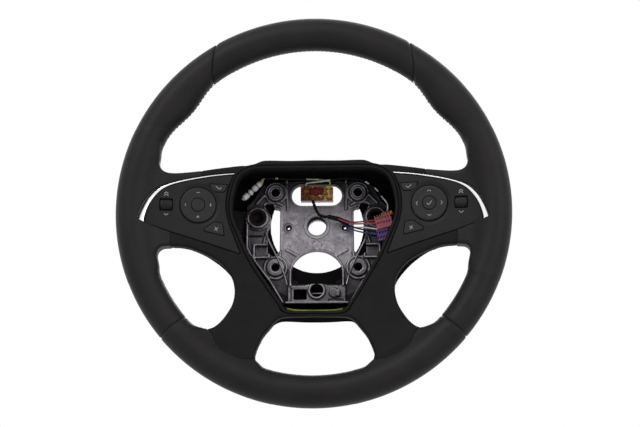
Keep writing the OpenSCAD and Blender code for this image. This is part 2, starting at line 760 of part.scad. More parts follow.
module module_spring_right() { upright() module_spring(); }
module module_spring_left() { left_of() module_spring(); }

armature();
spline_bushing();
rim_foam();
leather_top();
leather_left();
leather_right();
leather_bottom();
front_bezel();
back_cover();
switch_panel_left();
switch_panel_right();
chrome_strip_left();
chrome_strip_right();
pad_carrier_left();
pad_carrier_right();
pad_left();
pad_right();
centre_button_left();
centre_button_right();
roller_left();
roller_right();
button_left_upper();
button_left_lower();
button_right_upper();
button_right_lower();
switch_board_left();
switch_board_right();
main_connector();
connector_lock();
connector_pink();
connector_orange();
connector_purple();
connector_white();
connector_tip();
harness_sleeve();
splice_joint();
wire_red();
wire_pink();
wire_black();
wire_blue();
wire_white();
wire_left();
wire_right();
wire_bottom();
module_spring_left();
module_spring_right();
mid_bushings();
cover_screws();
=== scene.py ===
"""Looks of a four-spoke car steering wheel whose airbag module is taken out.

Shapes are worked out in millimetres in the face frame: x to the right, y up the wheel's face,
z toward the driver, with the origin in the middle of the column bore. to_scene() stands them up
in metres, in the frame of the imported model. Broad soft forms are surfaces of a signed distance
that a net of quads is laid on; small parts are profiles carried along an outline or a path.
"""

import logging
from dataclasses import dataclass, field
from enum import Enum
from typing import Callable, Sequence

import bpy
import numpy as np
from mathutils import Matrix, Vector
from mathutils.geometry import tessellate_polygon

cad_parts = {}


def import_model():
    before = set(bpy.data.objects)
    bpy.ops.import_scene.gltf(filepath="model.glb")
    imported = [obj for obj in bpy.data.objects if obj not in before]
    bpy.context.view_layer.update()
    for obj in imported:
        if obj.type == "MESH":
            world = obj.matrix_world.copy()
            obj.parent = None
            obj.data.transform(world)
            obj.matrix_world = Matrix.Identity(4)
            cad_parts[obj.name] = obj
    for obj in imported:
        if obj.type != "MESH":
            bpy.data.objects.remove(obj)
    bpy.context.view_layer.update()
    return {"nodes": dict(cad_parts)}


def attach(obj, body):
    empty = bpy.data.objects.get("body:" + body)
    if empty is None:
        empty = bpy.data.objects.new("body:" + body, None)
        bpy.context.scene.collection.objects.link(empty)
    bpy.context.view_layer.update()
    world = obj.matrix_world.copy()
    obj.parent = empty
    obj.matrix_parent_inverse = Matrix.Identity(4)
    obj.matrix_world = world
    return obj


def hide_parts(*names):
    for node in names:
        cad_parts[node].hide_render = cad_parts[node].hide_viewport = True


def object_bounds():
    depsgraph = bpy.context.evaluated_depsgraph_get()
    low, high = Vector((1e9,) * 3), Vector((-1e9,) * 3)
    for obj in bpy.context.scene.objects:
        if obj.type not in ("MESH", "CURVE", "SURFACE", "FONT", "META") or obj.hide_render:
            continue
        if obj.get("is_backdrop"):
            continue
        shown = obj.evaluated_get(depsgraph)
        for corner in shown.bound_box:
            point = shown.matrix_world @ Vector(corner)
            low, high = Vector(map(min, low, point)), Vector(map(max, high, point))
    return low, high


logging.basicConfig(level=logging.INFO, format="%(message)s")
log = logging.getLogger("wheel")

Array = np.ndarray
Distance = Callable[[Array, Array, Array], Array]


# Points, curves and meshes


def to_scene(points: Array) -> Array:
    """Stand points of the face frame up, in metres: (x, y, z) mm becomes (x, -z, y) / 1000."""
    points = np.asarray(points, float)
    return np.stack([points[:, 0], -points[:, 2], points[:, 1]], axis=1) * 0.001


def curve(points: Sequence[Sequence[float]], steps: int = 6) -> Array:
    """Put a smooth line through points.

    Each stretch is a Catmull-Rom cubic: its ends are two neighbouring points, and its slopes
    there are half the step between the points on either side.

    Args:
        points: Points of the line, in any number of dimensions.
        steps: Stretches between two given points.

    Returns:
        The line's points, the last one included.
    """
    given = np.asarray(points, float)
    padded = np.vstack([given[:1], given, given[-1:]])
    t = (np.arange(steps) / steps)[None, :, None]
    a, b, c, d = (padded[k: len(padded) - 3 + k, None, :] for k in range(4))
    line = 0.5 * (2 * b + (c - a) * t + (2 * a - 5 * b + 4 * c - d) * t**2
                  + (3 * b - a - 3 * c + d) * t**3)
    return np.vstack([line.reshape(-1, given.shape[1]), given[-1:]])


def make_piece(name: str, points: Array, *faces: Array, flip: bool = False) -> bpy.types.Object:
    """Make a smooth-shaded mesh object of points in the face frame.

    Args:
        name: Name of the piece.
        points: Vertices in millimetres.
        faces: Arrays of vertex numbers, one row a face.
        flip: Turn every face round.

    Returns:
        The object, with its place in its mesh.
    """
    kept = [np.asarray(f, np.int32)[:, ::-1] if flip else np.asarray(f, np.int32)
            for f in faces if len(f)]
    totals = np.concatenate([np.full(len(f), f.shape[1]) for f in kept])
    loops = np.concatenate([f.ravel() for f in kept])
    mesh = bpy.data.meshes.new(name)
    mesh.vertices.add(len(points))
    mesh.vertices.foreach_set("co", to_scene(points).astype(np.float32).ravel())
    mesh.loops.add(len(loops))
    mesh.loops.foreach_set("vertex_index", loops.astype(np.int32))
    mesh.polygons.add(len(totals))
    starts = np.concatenate([[0], np.cumsum(totals)[:-1]])
    mesh.polygons.foreach_set("loop_start", starts.astype(np.int32))
    mesh.update(calc_edges=True)
    mesh.validate()
    mesh.polygons.foreach_set("use_smooth", np.ones(len(mesh.polygons), bool))
    piece = bpy.data.objects.new(name, mesh)
    bpy.context.scene.collection.objects.link(piece)
    return piece


def joined(parts: Sequence[tuple[Array, list[Array]]]) -> tuple[Array, list[Array]]:
    """Put several (points, faces) shapes into one, renumbering the faces of each by its start."""
    points, faces, start = [], [], 0
    for own_points, own_faces in parts:
        points.append(own_points)
        faces += [np.asarray(f) + start for f in own_faces if len(f)]
        start += len(own_points)
    return np.vstack(points), faces


# Signed distances


def smooth_min(a: Array, b: Array, k: float) -> Array:
    """Join two solids with a fillet: the lower distance, eased by a parabola where they are within k."""
    h = np.clip(0.5 + 0.5 * (b - a) / k, 0.0, 1.0)
    return b + (a - b) * h - k * h * (1.0 - h)


def smooth_max(a: Array, b: Array, k: float) -> Array:
    """Cut one solid by another with a rounded edge: smooth_min of both turned round."""
    return -smooth_min(-a, -b, k)


def along(p: Array, q: Array, x: Array, y: Array) -> Array:
    """Distance from (x, y) to the stretch from p to q: to its foot, kept between the two ends."""
    ex, ey = q[0] - p[0], q[1] - p[1]
    t = np.clip(((x - p[0]) * ex + (y - p[1]) * ey) / (ex * ex + ey * ey + 1e-12), 0.0, 1.0)
    return np.hypot(x - p[0] - t * ex, y - p[1] - t * ey)


def disc(x: Array, y: Array, at_x: float, at_y: float, r: float) -> Array:
    """Distance to a disc."""
    return np.hypot(x - at_x, y - at_y) - r


def slab(x: Array, y: Array, low: Sequence[float], high: Sequence[float]) -> Array:
    """Distance to an upright rectangle, by its nearest side."""
    return np.maximum(np.maximum(low[0] - x, x - high[0]), np.maximum(low[1] - y, y - high[1]))


@dataclass
class Outline:
    """A closed outline in the face, whose signed distance is kept on a raster.

    The distance of a raster point is the least distance to any edge, negative where a ray from
    it crosses the outline an odd number of times. Between raster points it is bilinear.
    """

    points: Array
    pitch: float = 0.75
    margin: float = 14.0
    mirrored: bool = False
    _low: Array = field(init=False, repr=False, default=None)
    _raster: Array = field(init=False, repr=False, default=None)

    def __post_init__(self) -> None:
        """Work the raster out."""
        self.points = np.asarray(self.points, float)
        low, high = self.points.min(0) - self.margin, self.points.max(0) + self.margin
        if self.mirrored:
            low[0] = -self.pitch
        size = np.ceil((high - low) / self.pitch).astype(int) + 2
        x = (low[0] + self.pitch * np.arange(size[0]))[:, None]
        y = (low[1] + self.pitch * np.arange(size[1]))[None, :]
        best = np.full((size[0], size[1]), 1e9)
        inside = np.zeros(best.shape, bool)
        for p, q in zip(self.points, np.roll(self.points, -1, axis=0)):
            if abs(p[0] - q[0]) + abs(p[1] - q[1]) < 1e-9:
                continue
            best = np.minimum(best, along(p, q, x, y))
            if p[1] != q[1]:
                spans = (p[1] > y) != (q[1] > y)
                inside ^= spans & (x < (q[0] - p[0]) * (y - p[1]) / (q[1] - p[1]) + p[0])
        self._low, self._raster = low, np.where(inside, -best, best)

    def __call__(self, x: Array, y: Array) -> Array:
        """Signed distance at (x, y), negative inside."""
        x = np.abs(x) if self.mirrored else x
        shape = np.array(self._raster.shape) - 1.001
        u = (x - self._low[0]) / self.pitch
        v = (y - self._low[1]) / self.pitch
        over = np.hypot(u - np.clip(u, 0, shape[0]), v - np.clip(v, 0, shape[1])) * self.pitch
        u, v = np.clip(u, 0, shape[0]), np.clip(v, 0, shape[1])
        i, j = u.astype(int), v.astype(int)
        s, t = u - i, v - j
        r = self._raster
        return ((r[i, j] * (1 - s) + r[i + 1, j] * s) * (1 - t)
                + (r[i, j + 1] * (1 - s) + r[i + 1, j + 1] * s) * t + over)


def lay_net(distance: Distance, low: Sequence[float], high: Sequence[float], cell: float,
            rounds: int = 2) -> tuple[Array, list[Array]]:
    """Lay a net of quads on the surface where a signed distance is zero.

    Each cell that the surface crosses gets one point, the mean of the crossings on its edges, and
    each grid edge that it crosses gets the quad of the four cells round it. Then each point is
    drawn toward the mean of its neighbours and put back on the surface, by the distance there
    over the length of its slope.

    Args:
        distance: Signed distance of the solid, negative inside.
        low: Lowest corner of the box that holds it.
        high: Highest corner of the box.
        cell: Edge of a cell in millimetres.
        rounds: How often the points are evened out.

    Returns:
        The points and a list with one array of quads.
    """
    low, high = np.asarray(low, float), np.asarray(high, float)
    counts = np.ceil((high - low) / cell).astype(int) + 1
    x, y, z = (low[i] + cell * np.arange(counts[i]) for i in range(3))
    full = (counts[0], counts[1], counts[2])
    value = np.broadcast_to(distance(x[:, None, None], y[None, :, None], z[None, None, :]), full)
    value = np.ascontiguousarray(value, np.float32)
    inside = value < 0
    corners = np.array([(i, j, k) for i in (0, 1) for j in (0, 1) for k in (0, 1)])
    cells = tuple(counts - 1)
    total = np.zeros(cells, np.int8)
    for i, j, k in corners:
        total += inside[i: i + cells[0], j: j + cells[1], k: k + cells[2]]
    found = np.flatnonzero((total > 0) & (total < 8))
    number = np.full(cells, -1, np.int64)
    number.ravel()[found] = np.arange(len(found))
    at = np.stack(np.unravel_index(found, cells), axis=1)
    corner_value = np.stack([value[tuple((at + c).T)] for c in corners], axis=1)
    points, hits = np.zeros((len(found), 3)), np.zeros(len(found))
    for a in range(8):
        for b in range(a + 1, 8):
            if np.abs(corners[a] - corners[b]).sum() != 1:
                continue
            va, vb = corner_value[:, a], corner_value[:, b]
            crossed = (va < 0) != (vb < 0)
            t = np.where(crossed, va / np.where(crossed, va - vb, 1.0), 0.0)[:, None]
            points += np.where(crossed[:, None], corners[a] + t * (corners[b] - corners[a]), 0.0)
            hits += crossed
    points = low + cell * (at + points / hits[:, None])
    quads = []
    for axis in range(3):
        first = np.take(inside, np.arange(counts[axis] - 1), axis=axis)
        second = np.take(inside, np.arange(1, counts[axis]), axis=axis)
        u, v = (axis + 1) % 3, (axis + 2) % 3
        g = np.argwhere(first != second)
        g = g[(g[:, u] > 0) & (g[:, v] > 0) & (g[:, u] < cells[u]) & (g[:, v] < cells[v])]
        eu, ev = np.eye(3, dtype=int)[u], np.eye(3, dtype=int)[v]
        quad = np.stack([number[tuple((g + shift).T)] for shift in (-eu - ev, -ev, 0 * eu, -eu)], axis=1)
        out = first[tuple(g.T)]
        quads += [quad[out], quad[~out][:, ::-1]]
    faces = np.vstack(quads)

    def settle(p: Array) -> Array:
        """Put points on the surface: step back by distance times slope over the slope's square."""
        for _ in range(2):
            h = 0.2 * cell
            slope = np.stack([distance(*(p + s).T) - distance(*(p - s).T)
                              for s in np.eye(3) * h], axis=1) / (2 * h)
            step = distance(*p.T)[:, None] * slope / np.maximum((slope**2).sum(1), 0.2)[:, None]
            reach = np.linalg.norm(step, axis=1, keepdims=True)
            p = p - step * np.minimum(1.0, 0.6 * cell / np.maximum(reach, 1e-9))
        return p

    points = settle(points)
    edges = np.vstack([faces[:, [k, (k + 1) % 4]] for k in range(4)])
    for _ in range(rounds):
        mean = np.zeros_like(points)
        for axis in range(3):
            mean[:, axis] = np.bincount(edges[:, 0], points[edges[:, 1], axis], len(points))
        mean /= np.maximum(np.bincount(edges[:, 0], minlength=len(points)), 1)[:, None]
        points = settle(0.5 * (points + mean))
    return points, [faces]


# Profiles carried along outlines and paths


def inset(loop: Array, by: Array | float) -> Array:
    """Move a closed counter-clockwise outline inward, along the mean normal of each corner's edges.

    Args:
        loop: Corners of the outline.
        by: How far, in millimetres.

    Returns:
        The moved corners.
    """
    before, after = loop - np.roll(loop, 1, axis=0), np.roll(loop, -1, axis=0) - loop
    before /= np.linalg.norm(before, axis=1, keepdims=True)
    after /= np.linalg.norm(after, axis=1, keepdims=True)
    normal = np.stack([-(before + after)[:, 1], (before + after)[:, 0]], axis=1)
    normal /= np.linalg.norm(normal, axis=1, keepdims=True)
    edge_normal = np.stack([-after[:, 1], after[:, 0]], axis=1)
    stretch = 1.0 / np.maximum((normal * edge_normal).sum(1), 0.5)
    return loop + normal * (stretch * by)[:, None]


def evened(loop: Array, spacing: float, round_by: float = 0.0) -> Array:
    """Share a closed outline out into even steps, its corners cut round by a moving mean.

    Args:
        loop: Corners of the outline.
        spacing: Length of a step.
        round_by: Length over which corners are eased.

    Returns:
        Points along the outline, counter-clockwise.
    """
    x, y = loop.T
    if (x * np.roll(y, -1) - np.roll(x, -1) * y).sum() < 0:
        loop = loop[::-1]
    closed = np.vstack([loop, loop[:1]])
    length = np.concatenate([[0], np.cumsum(np.linalg.norm(np.diff(closed, axis=0), axis=1))])
    keep = np.concatenate([[True], np.diff(length) > 1e-9])
    closed, length = closed[keep], length[keep]
    count = max(8, int(length[-1] / spacing))
    at = length[-1] * np.arange(count) / count
    even = np.stack([np.interp(at, length, closed[:, k]) for k in (0, 1)], axis=1)
    for _ in range(int(round_by / spacing)):
        even = 0.5 * even + 0.25 * (np.roll(even, 1, axis=0) + np.roll(even, -1, axis=0))
    return even


def ring_faces(rings: int, around: int, closed: bool = True) -> Array:
    """Quads between neighbouring rings of points, numbered ring by ring."""
    i, k = np.meshgrid(np.arange(rings - 1), np.arange(around if closed else around - 1), indexing="ij")
    j = (k + 1) % around
    return np.stack([i * around + k, i * around + j, (i + 1) * around + j, (i + 1) * around + k],
                    axis=-1).reshape(-1, 4)


def sheet_with_holes(loops: Sequence[Array], height: float) -> tuple[Array, Array]:
    """Triangles of a flat face between an outer outline and the outlines of its holes.

    Args:
        loops: The outer outline and then the holes.
        height: z of the face.

    Returns:
        The points and the triangles, which face +z.
    """
    flat = [[Vector((p[0], p[1], 0.0)) for p in loop] for loop in loops]
    points = np.array([p for loop in flat for p in loop])
    points[:, 2] = height
    triangles = np.array(tessellate_polygon(flat), int)
    a, b, c = (points[triangles[:, k]] for k in range(3))
    upward = np.cross(b - a, c - a)[:, 2] > 0
    triangles[~upward] = triangles[~upward][:, ::-1]
    return points, triangles


def moulded(outer: Array, profile: Sequence[tuple[float, float]],
            holes: Sequence[tuple[Array, Sequence[tuple[float, float]]]] = ()) -> tuple[Array, list[Array]]:
    """A flat moulding whose edges follow profiles carried round its outlines.

    A point of an edge is the outline moved inward (outward in a hole) by the profile's first
    number, at the height of its second, and the top is flat between the last rings.

    Args:
        outer: The outline, counter-clockwise.
        profile: Steps of (inset, height) from the bottom edge to the top.
        holes: Outlines of holes with their own profiles, each ending at the same height.

    Returns:
        The points and faces, with a flat bottom between the first rings.
    """
    parts, tops, bottoms = [], [], []
    for k, (loop, steps) in enumerate([(outer, profile), *holes]):
        sign = 1.0 if k == 0 else -1.0
        rings = [np.column_stack([inset(loop, sign * by), np.full(len(loop), z)]) for by, z in steps]
        faces = ring_faces(len(rings), len(loop))
        parts.append((np.vstack(rings), [faces if k == 0 else faces[:, ::-1]]))
        bottoms.append(rings[0])
        tops.append(rings[-1])
    for rims, up in ((tops, True), (bottoms, False)):
        points, triangles = sheet_with_holes([r[:, :2] for r in rims], float(rims[0][0, 2]))
        parts.append((points, [triangles if up else triangles[:, ::-1]]))
    return joined(parts)


def turned(profile: Sequence[tuple[float, float]], around: int = 64) -> tuple[Array, list[Array]]:
    """A turned shape: the profile's (radius, height) carried round the z axis.

    Args:
        profile: Steps of (radius, height), from the bottom to the top along the outside; a step
            of radius zero closes the shape with one point.
        around: Points round the axis.

    Returns:
        The points and faces.
    """
    angle = 2 * np.pi * np.arange(around) / around
    steps = np.array(profile, float)
    solid = steps[steps[:, 0] > 0]
    points = np.stack([solid[:, :1] * np.cos(angle), solid[:, :1] * np.sin(angle),
                       np.repeat(solid[:, 1:], around, axis=1)], axis=-1).reshape(-1, 3)
    faces = [ring_faces(len(solid), around)]
    k = np.arange(around)
    for end, first in ((0, True), (-1, False)):
        if steps[end, 0] == 0:
            base = 0 if first else (len(solid) - 1) * around
            points = np.vstack([points, [[0, 0, steps[end, 1]]]])
            tip = np.full(around, len(points) - 1)
            faces.append(np.stack([tip, base + (k + 1) % around, base + k] if first
                                  else [tip, base + k, base + (k + 1) % around], axis=1))
    if steps[0, 0] > 0 and steps[-1, 0] > 0 and np.allclose(steps[0], steps[-1]):
        faces[0] = faces[0] % ((len(solid) - 1) * around)
        points = points[: (len(solid) - 1) * around]
    return points, faces


def frames_along(path: Array) -> tuple[Array, Array]:
    """Two directions across a path at each of its points, as little twisted as can be.

    The first is the one before it less its part along the path, scaled to length one.

    Args:
        path: Points of the path.

    Returns:
        Both directions at each point.
    """
    tangent = np.gradient(path, axis=0)
    tangent /= np.linalg.norm(tangent, axis=1, keepdims=True)
    across = np.zeros_like(path)
    start = np.cross(tangent[0], [0.13, 0.21, 1.0])
    for i, t in enumerate(tangent):
        start = start - t * (start @ t)
        start /= np.linalg.norm(start)
        across[i] = start
    return across, np.cross(tangent, across)


def tube(path: Array, radius: Array | float, around: int = 12, phase: Array | float = 0.0
         ) -> tuple[Array, list[Array]]:
    """A round wire along a path, closed at both ends by a cone.

    A point is the path's point plus radius times (cos a, sin a) in its two cross directions.

    Args:
        path: Points of the path.
        radius: Radius, or one for each point of the path.
        around: Points round the wire.
        phase: Turn of each ring in radians, for twisted strands.

    Returns:
        The points and faces.
    """
    u, v = frames_along(path)
    n = len(path)
    r = np.broadcast_to(radius, (n,))[:, None, None]
    angle = (2 * np.pi * np.arange(around) / around)[None, :, None]
    angle = angle + np.broadcast_to(phase, (n,))[:, None, None]
    rings = path[:, None] + r * (np.cos(angle) * u[:, None] + np.sin(angle) * v[:, None])
    points = np.vstack([rings.reshape(-1, 3), path[:1], path[-1:]])
    k = np.arange(around)
    last = (n - 1) * around
    ends = [np.stack([np.full(around, n * around), (k + 1) % around, k], axis=1),
            np.stack([np.full(around, n * around + 1), last + k, last + (k + 1) % around], axis=1)]
    return points, [ring_faces(n, around), *ends]


def outward(points: Array, faces: list[Array]) -> tuple[Array, list[Array]]:
    """Turn a closed shape's faces outward: flip all where the volume they hold comes out negative."""
    volume = 0.0
    for f in faces:
        for k in range(1, f.shape[1] - 1):
            a, b, c = points[f[:, 0]], points[f[:, k]], points[f[:, k + 1]]
            volume += float((a * np.cross(b, c)).sum())
    return points, [f[:, ::-1] for f in faces] if volume < 0 else faces


def capped(rings: Array, section: Array) -> tuple[Array, list[Array]]:
    """A bar through rings of points, closed at both ends.

    Args:
        rings: Points by ring, place in the ring, and axis.
        section: The ring's places in a plane, from which the ends' triangles are worked out.

    Returns:
        The points and faces, outward.
    """
    count, around = rings.shape[:2]
    ends = np.array(tessellate_polygon([[Vector((p[0], p[1], 0.0)) for p in section]]), int)
    last = (count - 1) * around
    a, b, c = (section[ends[:, k]] for k in range(3))
    clockwise = (b[:, 0] - a[:, 0]) * (c[:, 1] - a[:, 1]) - (b[:, 1] - a[:, 1]) * (c[:, 0] - a[:, 0]) < 0
    ends[clockwise] = ends[clockwise][:, ::-1]
    area = (section[:, 0] * np.roll(section[:, 1], -1) - np.roll(section[:, 0], -1) * section[:, 1]).sum()
    if area < 0:
        ends = ends[:, ::-1]
    return outward(rings.reshape(-1, 3), [ring_faces(count, around), ends[:, ::-1], ends + last])


def relief(low: Sequence[float], high: Sequence[float], height: Callable[[Array, Array], Array], floor: float,
           pitch: float, middle: Sequence[float]) -> tuple[Array, list[Array]]:
    """A block whose front is a relief: a grid lifted by a height, with walls down to a flat floor.

    The outermost ring of the grid is drawn a little down, which rounds the block's edge.

    Args:
        low: Lowest x and y about the block's middle.
        high: Highest x and y.
        height: Height of the front at (x, y).
        floor: Height of the flat back.
        pitch: Step of the grid.
        middle: Where the block's middle goes.

    Returns:
        The points and faces, outward.
    """
    n = [int(round((high[k] - low[k]) / pitch)) + 1 for k in (0, 1)]
    x, y = np.meshgrid(*(np.linspace(low[k], high[k], n[k]) for k in (0, 1)), indexing="ij")
    z = height(x, y) + 0 * x
    edge = np.zeros(x.shape, bool)
    edge[[0, -1], :] = edge[:, [0, -1]] = True
    z = np.where(edge, z - 0.5, z)
    top = np.stack([x, y, z], axis=-1).reshape(-1, 3)
    number = np.arange(n[0] * n[1]).reshape(n)
    rim = np.concatenate([number[:-1, 0], number[-1, :-1], number[:0:-1, -1], number[0, :0:-1]])
    below = top[rim] * [1, 1, 0] + [0, 0, floor]
    points = np.vstack([top, below, [[0, 0, floor]]])
    k = np.arange(len(rim))
    j = (k + 1) % len(rim)
    start = len(top)
    faces = [ring_faces(n[0], n[1], closed=False)[:, ::-1],
             np.stack([rim[k], start + k, start + j, rim[j]], axis=1),
             np.stack([start + k, np.full(len(rim), len(points) - 1), start + j], axis=1)]
    return outward(points + np.asarray(middle, float), faces)


def grown(outline: Sequence[Sequence[float]], by: float) -> Array:
    """A small outline with eased corners, moved outward."""
    return inset(evened(np.array(outline, float), 0.5, 1.2), -by)


# Sizes shared by the sub-assemblies, as in the part's source


@dataclass(frozen=True)
class Sizes:
    """Sizes of the wheel in millimetres and degrees."""

    rim_r: float = 174.2
    half_w: float = 15.8
    half_d: float = 16.5
    dish: float = 88.0
    bulge: float = 6.0
    bulge_at: float = 40.0
    bulge_half: float = 14.0
    seam_up: float = 56.4
    seam_turn: float = 0.27
    seam_low: float = 40.3
    gap: float = 0.3
    lip_z: float = 79.0
    lip_w: float = 5.6
    bead_w: float = 3.3
    bead_seat: float = 77.2
    lean: float = 1.3
    wall: float = 2.4
    plate_back: float = 2.0
    plate_front: float = 8.0
    cover_hole: float = 46.0
    panel_tilt: float = 7.7
    panel_x: float = 76.0
    panel_z: float = 79.8
    panel_h: float = 8.0


S = Sizes()


class Side(Enum):
    """The two sides of the wheel, as the driver sees them."""

    LEFT = -1
    RIGHT = 1

    @property
    def word(self) -> str:
        """The side's word in the names of pieces."""
        return self.name.lower()


class WheelForm:
    """The forms that leather and mouldings share: the rim, and the hub with its four spokes."""

    top_edge = [(0, 52.0), (22, 51.6), (42, 52.1), (50, 51.6), (57, 48.9), (63.5, 47.2), (71, 46.9),
                (84, 45.2), (97, 43.2), (112, 40.7), (134, 38.4), (144, 40), (149.4, 46.4), (150, 55.4),
                (158, 72)]
    low_side_edge = [(158, -62), (150, -54), (150.4, -42), (147, -35.5), (140, -33.5), (122, -34.2),
                     (106, -39.8), (90.6, -48.4), (80, -61), (76.6, -74.5), (78.4, -88), (84, -99),
                     (90.5, -107.5), (97, -112.6), (103, -114), (109, -114), (120, -116)]
    bottom_edge = [(62, -153.5), (54, -150), (56.3, -144), (56, -136.5), (50.4, -122.8), (43.8, -113.6),
                   (36.8, -105.4), (28, -101.9), (0, -100.9)]
    cavity_edge = [(0, 42.8), (48, 42.8), (64, 40.4), (73, 32), (77.5, 16), (78.3, 3), (76, -8),
                   (71.7, -18), (66.7, -30), (59.6, -45), (45.2, -68.5), (32.7, -87.6), (26, -95), (0, -95.4)]
    chrome_outer = [(76.5, 38.9), (95, 37), (113.8, 33.9), (128, 30.8), (141, 26.9), (150, 22.5),
                    (158.6, 14.6), (165, 3.6), (169, -6.5), (168.7, -9.1)]
    panel_low = [(168.4, -9.2), (140, -18.8), (112.5, -26.9), (89, -34.2), (70.2, -40.4)]
    panel_inner = [(70.2, -40), (76.5, -24), (81.8, -10), (84.6, 4), (84, 18), (80.5, 30), (76.5, 38.9)]
    seam_arc = [(112, -106), (97, -117), (88, -133), (68, -142.6), (50, -142.6), (38, -140)]
    side_zone = [(107.6, 80), (107.6, 20), (137, -12), (137, -60), (250, -90), (250, 80)]
    front_level = [(0, 79), (70, 79), (86, 79.8), (110, 83.5), (140, 89), (158, 94.5), (172, 97)]
    part_level = [(0, 62), (70, 62), (86, 63), (110, 67), (140, 75), (158, 79), (172, 81)]
    back_level = [(0, -1.2), (70, -1.2), (86, -1.2), (93, 4.5), (99, 16), (105, 32), (114, 49),
                  (130, 62), (150, 68), (172, 74)]

    def __init__(self) -> None:
        """Work out the outlines' distances."""
        def whole(*edges: Sequence[Sequence[float]]) -> Array:
            """One outline of both halves, from edges of the right half that start and end at x = 0."""
            half = np.vstack([curve(e) for e in edges])
            return np.vstack([half, half[::-1] * [-1, 1]])
        self.spider = Outline(whole(self.top_edge, self.low_side_edge, self.bottom_edge), mirrored=True)
        self.cavity = Outline(whole(self.cavity_edge), mirrored=True)
        self.panel_points = np.vstack([curve(self.chrome_outer), curve(self.panel_low),
                                       curve(self.panel_inner)])
        self.panel = Outline(self.panel_points)
        self.side = Outline(np.array(self.side_zone))
        self.low = Outline(np.vstack([curve(self.seam_arc), [(38, -230), (200, -230), (200, -106)]]))
        self.levels = {name: curve(getattr(self, name))
                       for name in ("front_level", "part_level", "back_level")}

    def level(self, name: str, r: Array) -> Array:
        """Height of a level at a distance from the wheel's axis."""
        line = self.levels[name]
        return np.interp(r, line[:, 0], line[:, 1])

    def rim(self, x: Array, y: Array, z: Array) -> Array:
        """Distance to the rim: an ellipse turned about the axis, its inner half swollen at the grips.

        The swelling is half a cosine wave over the grip's angle. The distance to the ellipse is
        its radial share k, times k - 1, over the slope of k.
        """
        r, a = np.hypot(x, y), np.degrees(np.arctan2(y, np.abs(x)))
        t = np.minimum(np.abs(a - S.bulge_at) / S.bulge_half, 1.0)
        swell = S.bulge * (1 + np.cos(np.pi * t)) / 2
        half = np.where(r < S.rim_r, S.half_w + swell, S.half_w)
        u, v = (r - S.rim_r) / half, (z - S.dish) / S.half_d
        k, slope = np.hypot(u, v), np.hypot(u / half, v / S.half_d)
        return np.where(slope > 1e-4, k * (k - 1) / np.maximum(slope, 1e-4), -S.half_w)

    def lean(self, y: Array) -> Array:
        """How far the lower hub stands to the right: nothing at the top, eased in below the middle."""
        t = np.clip((-y - 50) / 40, 0.0, 1.0)
        return S.lean * t * t * (3 - 2 * t)

    def spokes(self, x: Array, y: Array, z: Array, narrower: float = 0.0) -> Array:
        """Distance to the hub and spokes: their outline between two levels, the back edge rounder."""
        x = x - self.lean(y)
        r = np.hypot(x, y)
        flat = np.maximum(self.spider(x, y), r - S.rim_r) + narrower
        front = (z - self.level("front_level", r)) * 0.97
        back = (self.level("back_level", r) - z) * np.where((r > 86) & (r < 120), 0.5, 0.97)
        return smooth_max(smooth_max(flat, front, 4.0), back, 7.0)

    def hub_cavity(self, x: Array, y: Array) -> Array:
        """Distance to the open middle of the hub, in the face."""
        return self.cavity(x - self.lean(y), y)

    def whole(self, x: Array, y: Array, z: Array) -> Array:
        """Distance to the rim and the spokes, joined with fillets."""
        return smooth_min(self.rim(x, y, z), self.spokes(x, y, z), 9.0)

    def pocket(self, x: Array, y: Array, z: Array, gap: float) -> Array:
        """Distance to the room that the right switch panel takes, square to its tilted face."""
        c, s = np.cos(np.radians(S.panel_tilt)), np.sin(np.radians(S.panel_tilt))
        dx, dz = x - S.panel_x, z - S.panel_z
        u, w = S.panel_x + dx * c + dz * s, dz * c - dx * s
        return smooth_max(self.panel(u, y) - gap, -(w + S.panel_h) - gap, 0.6)


# Finishes


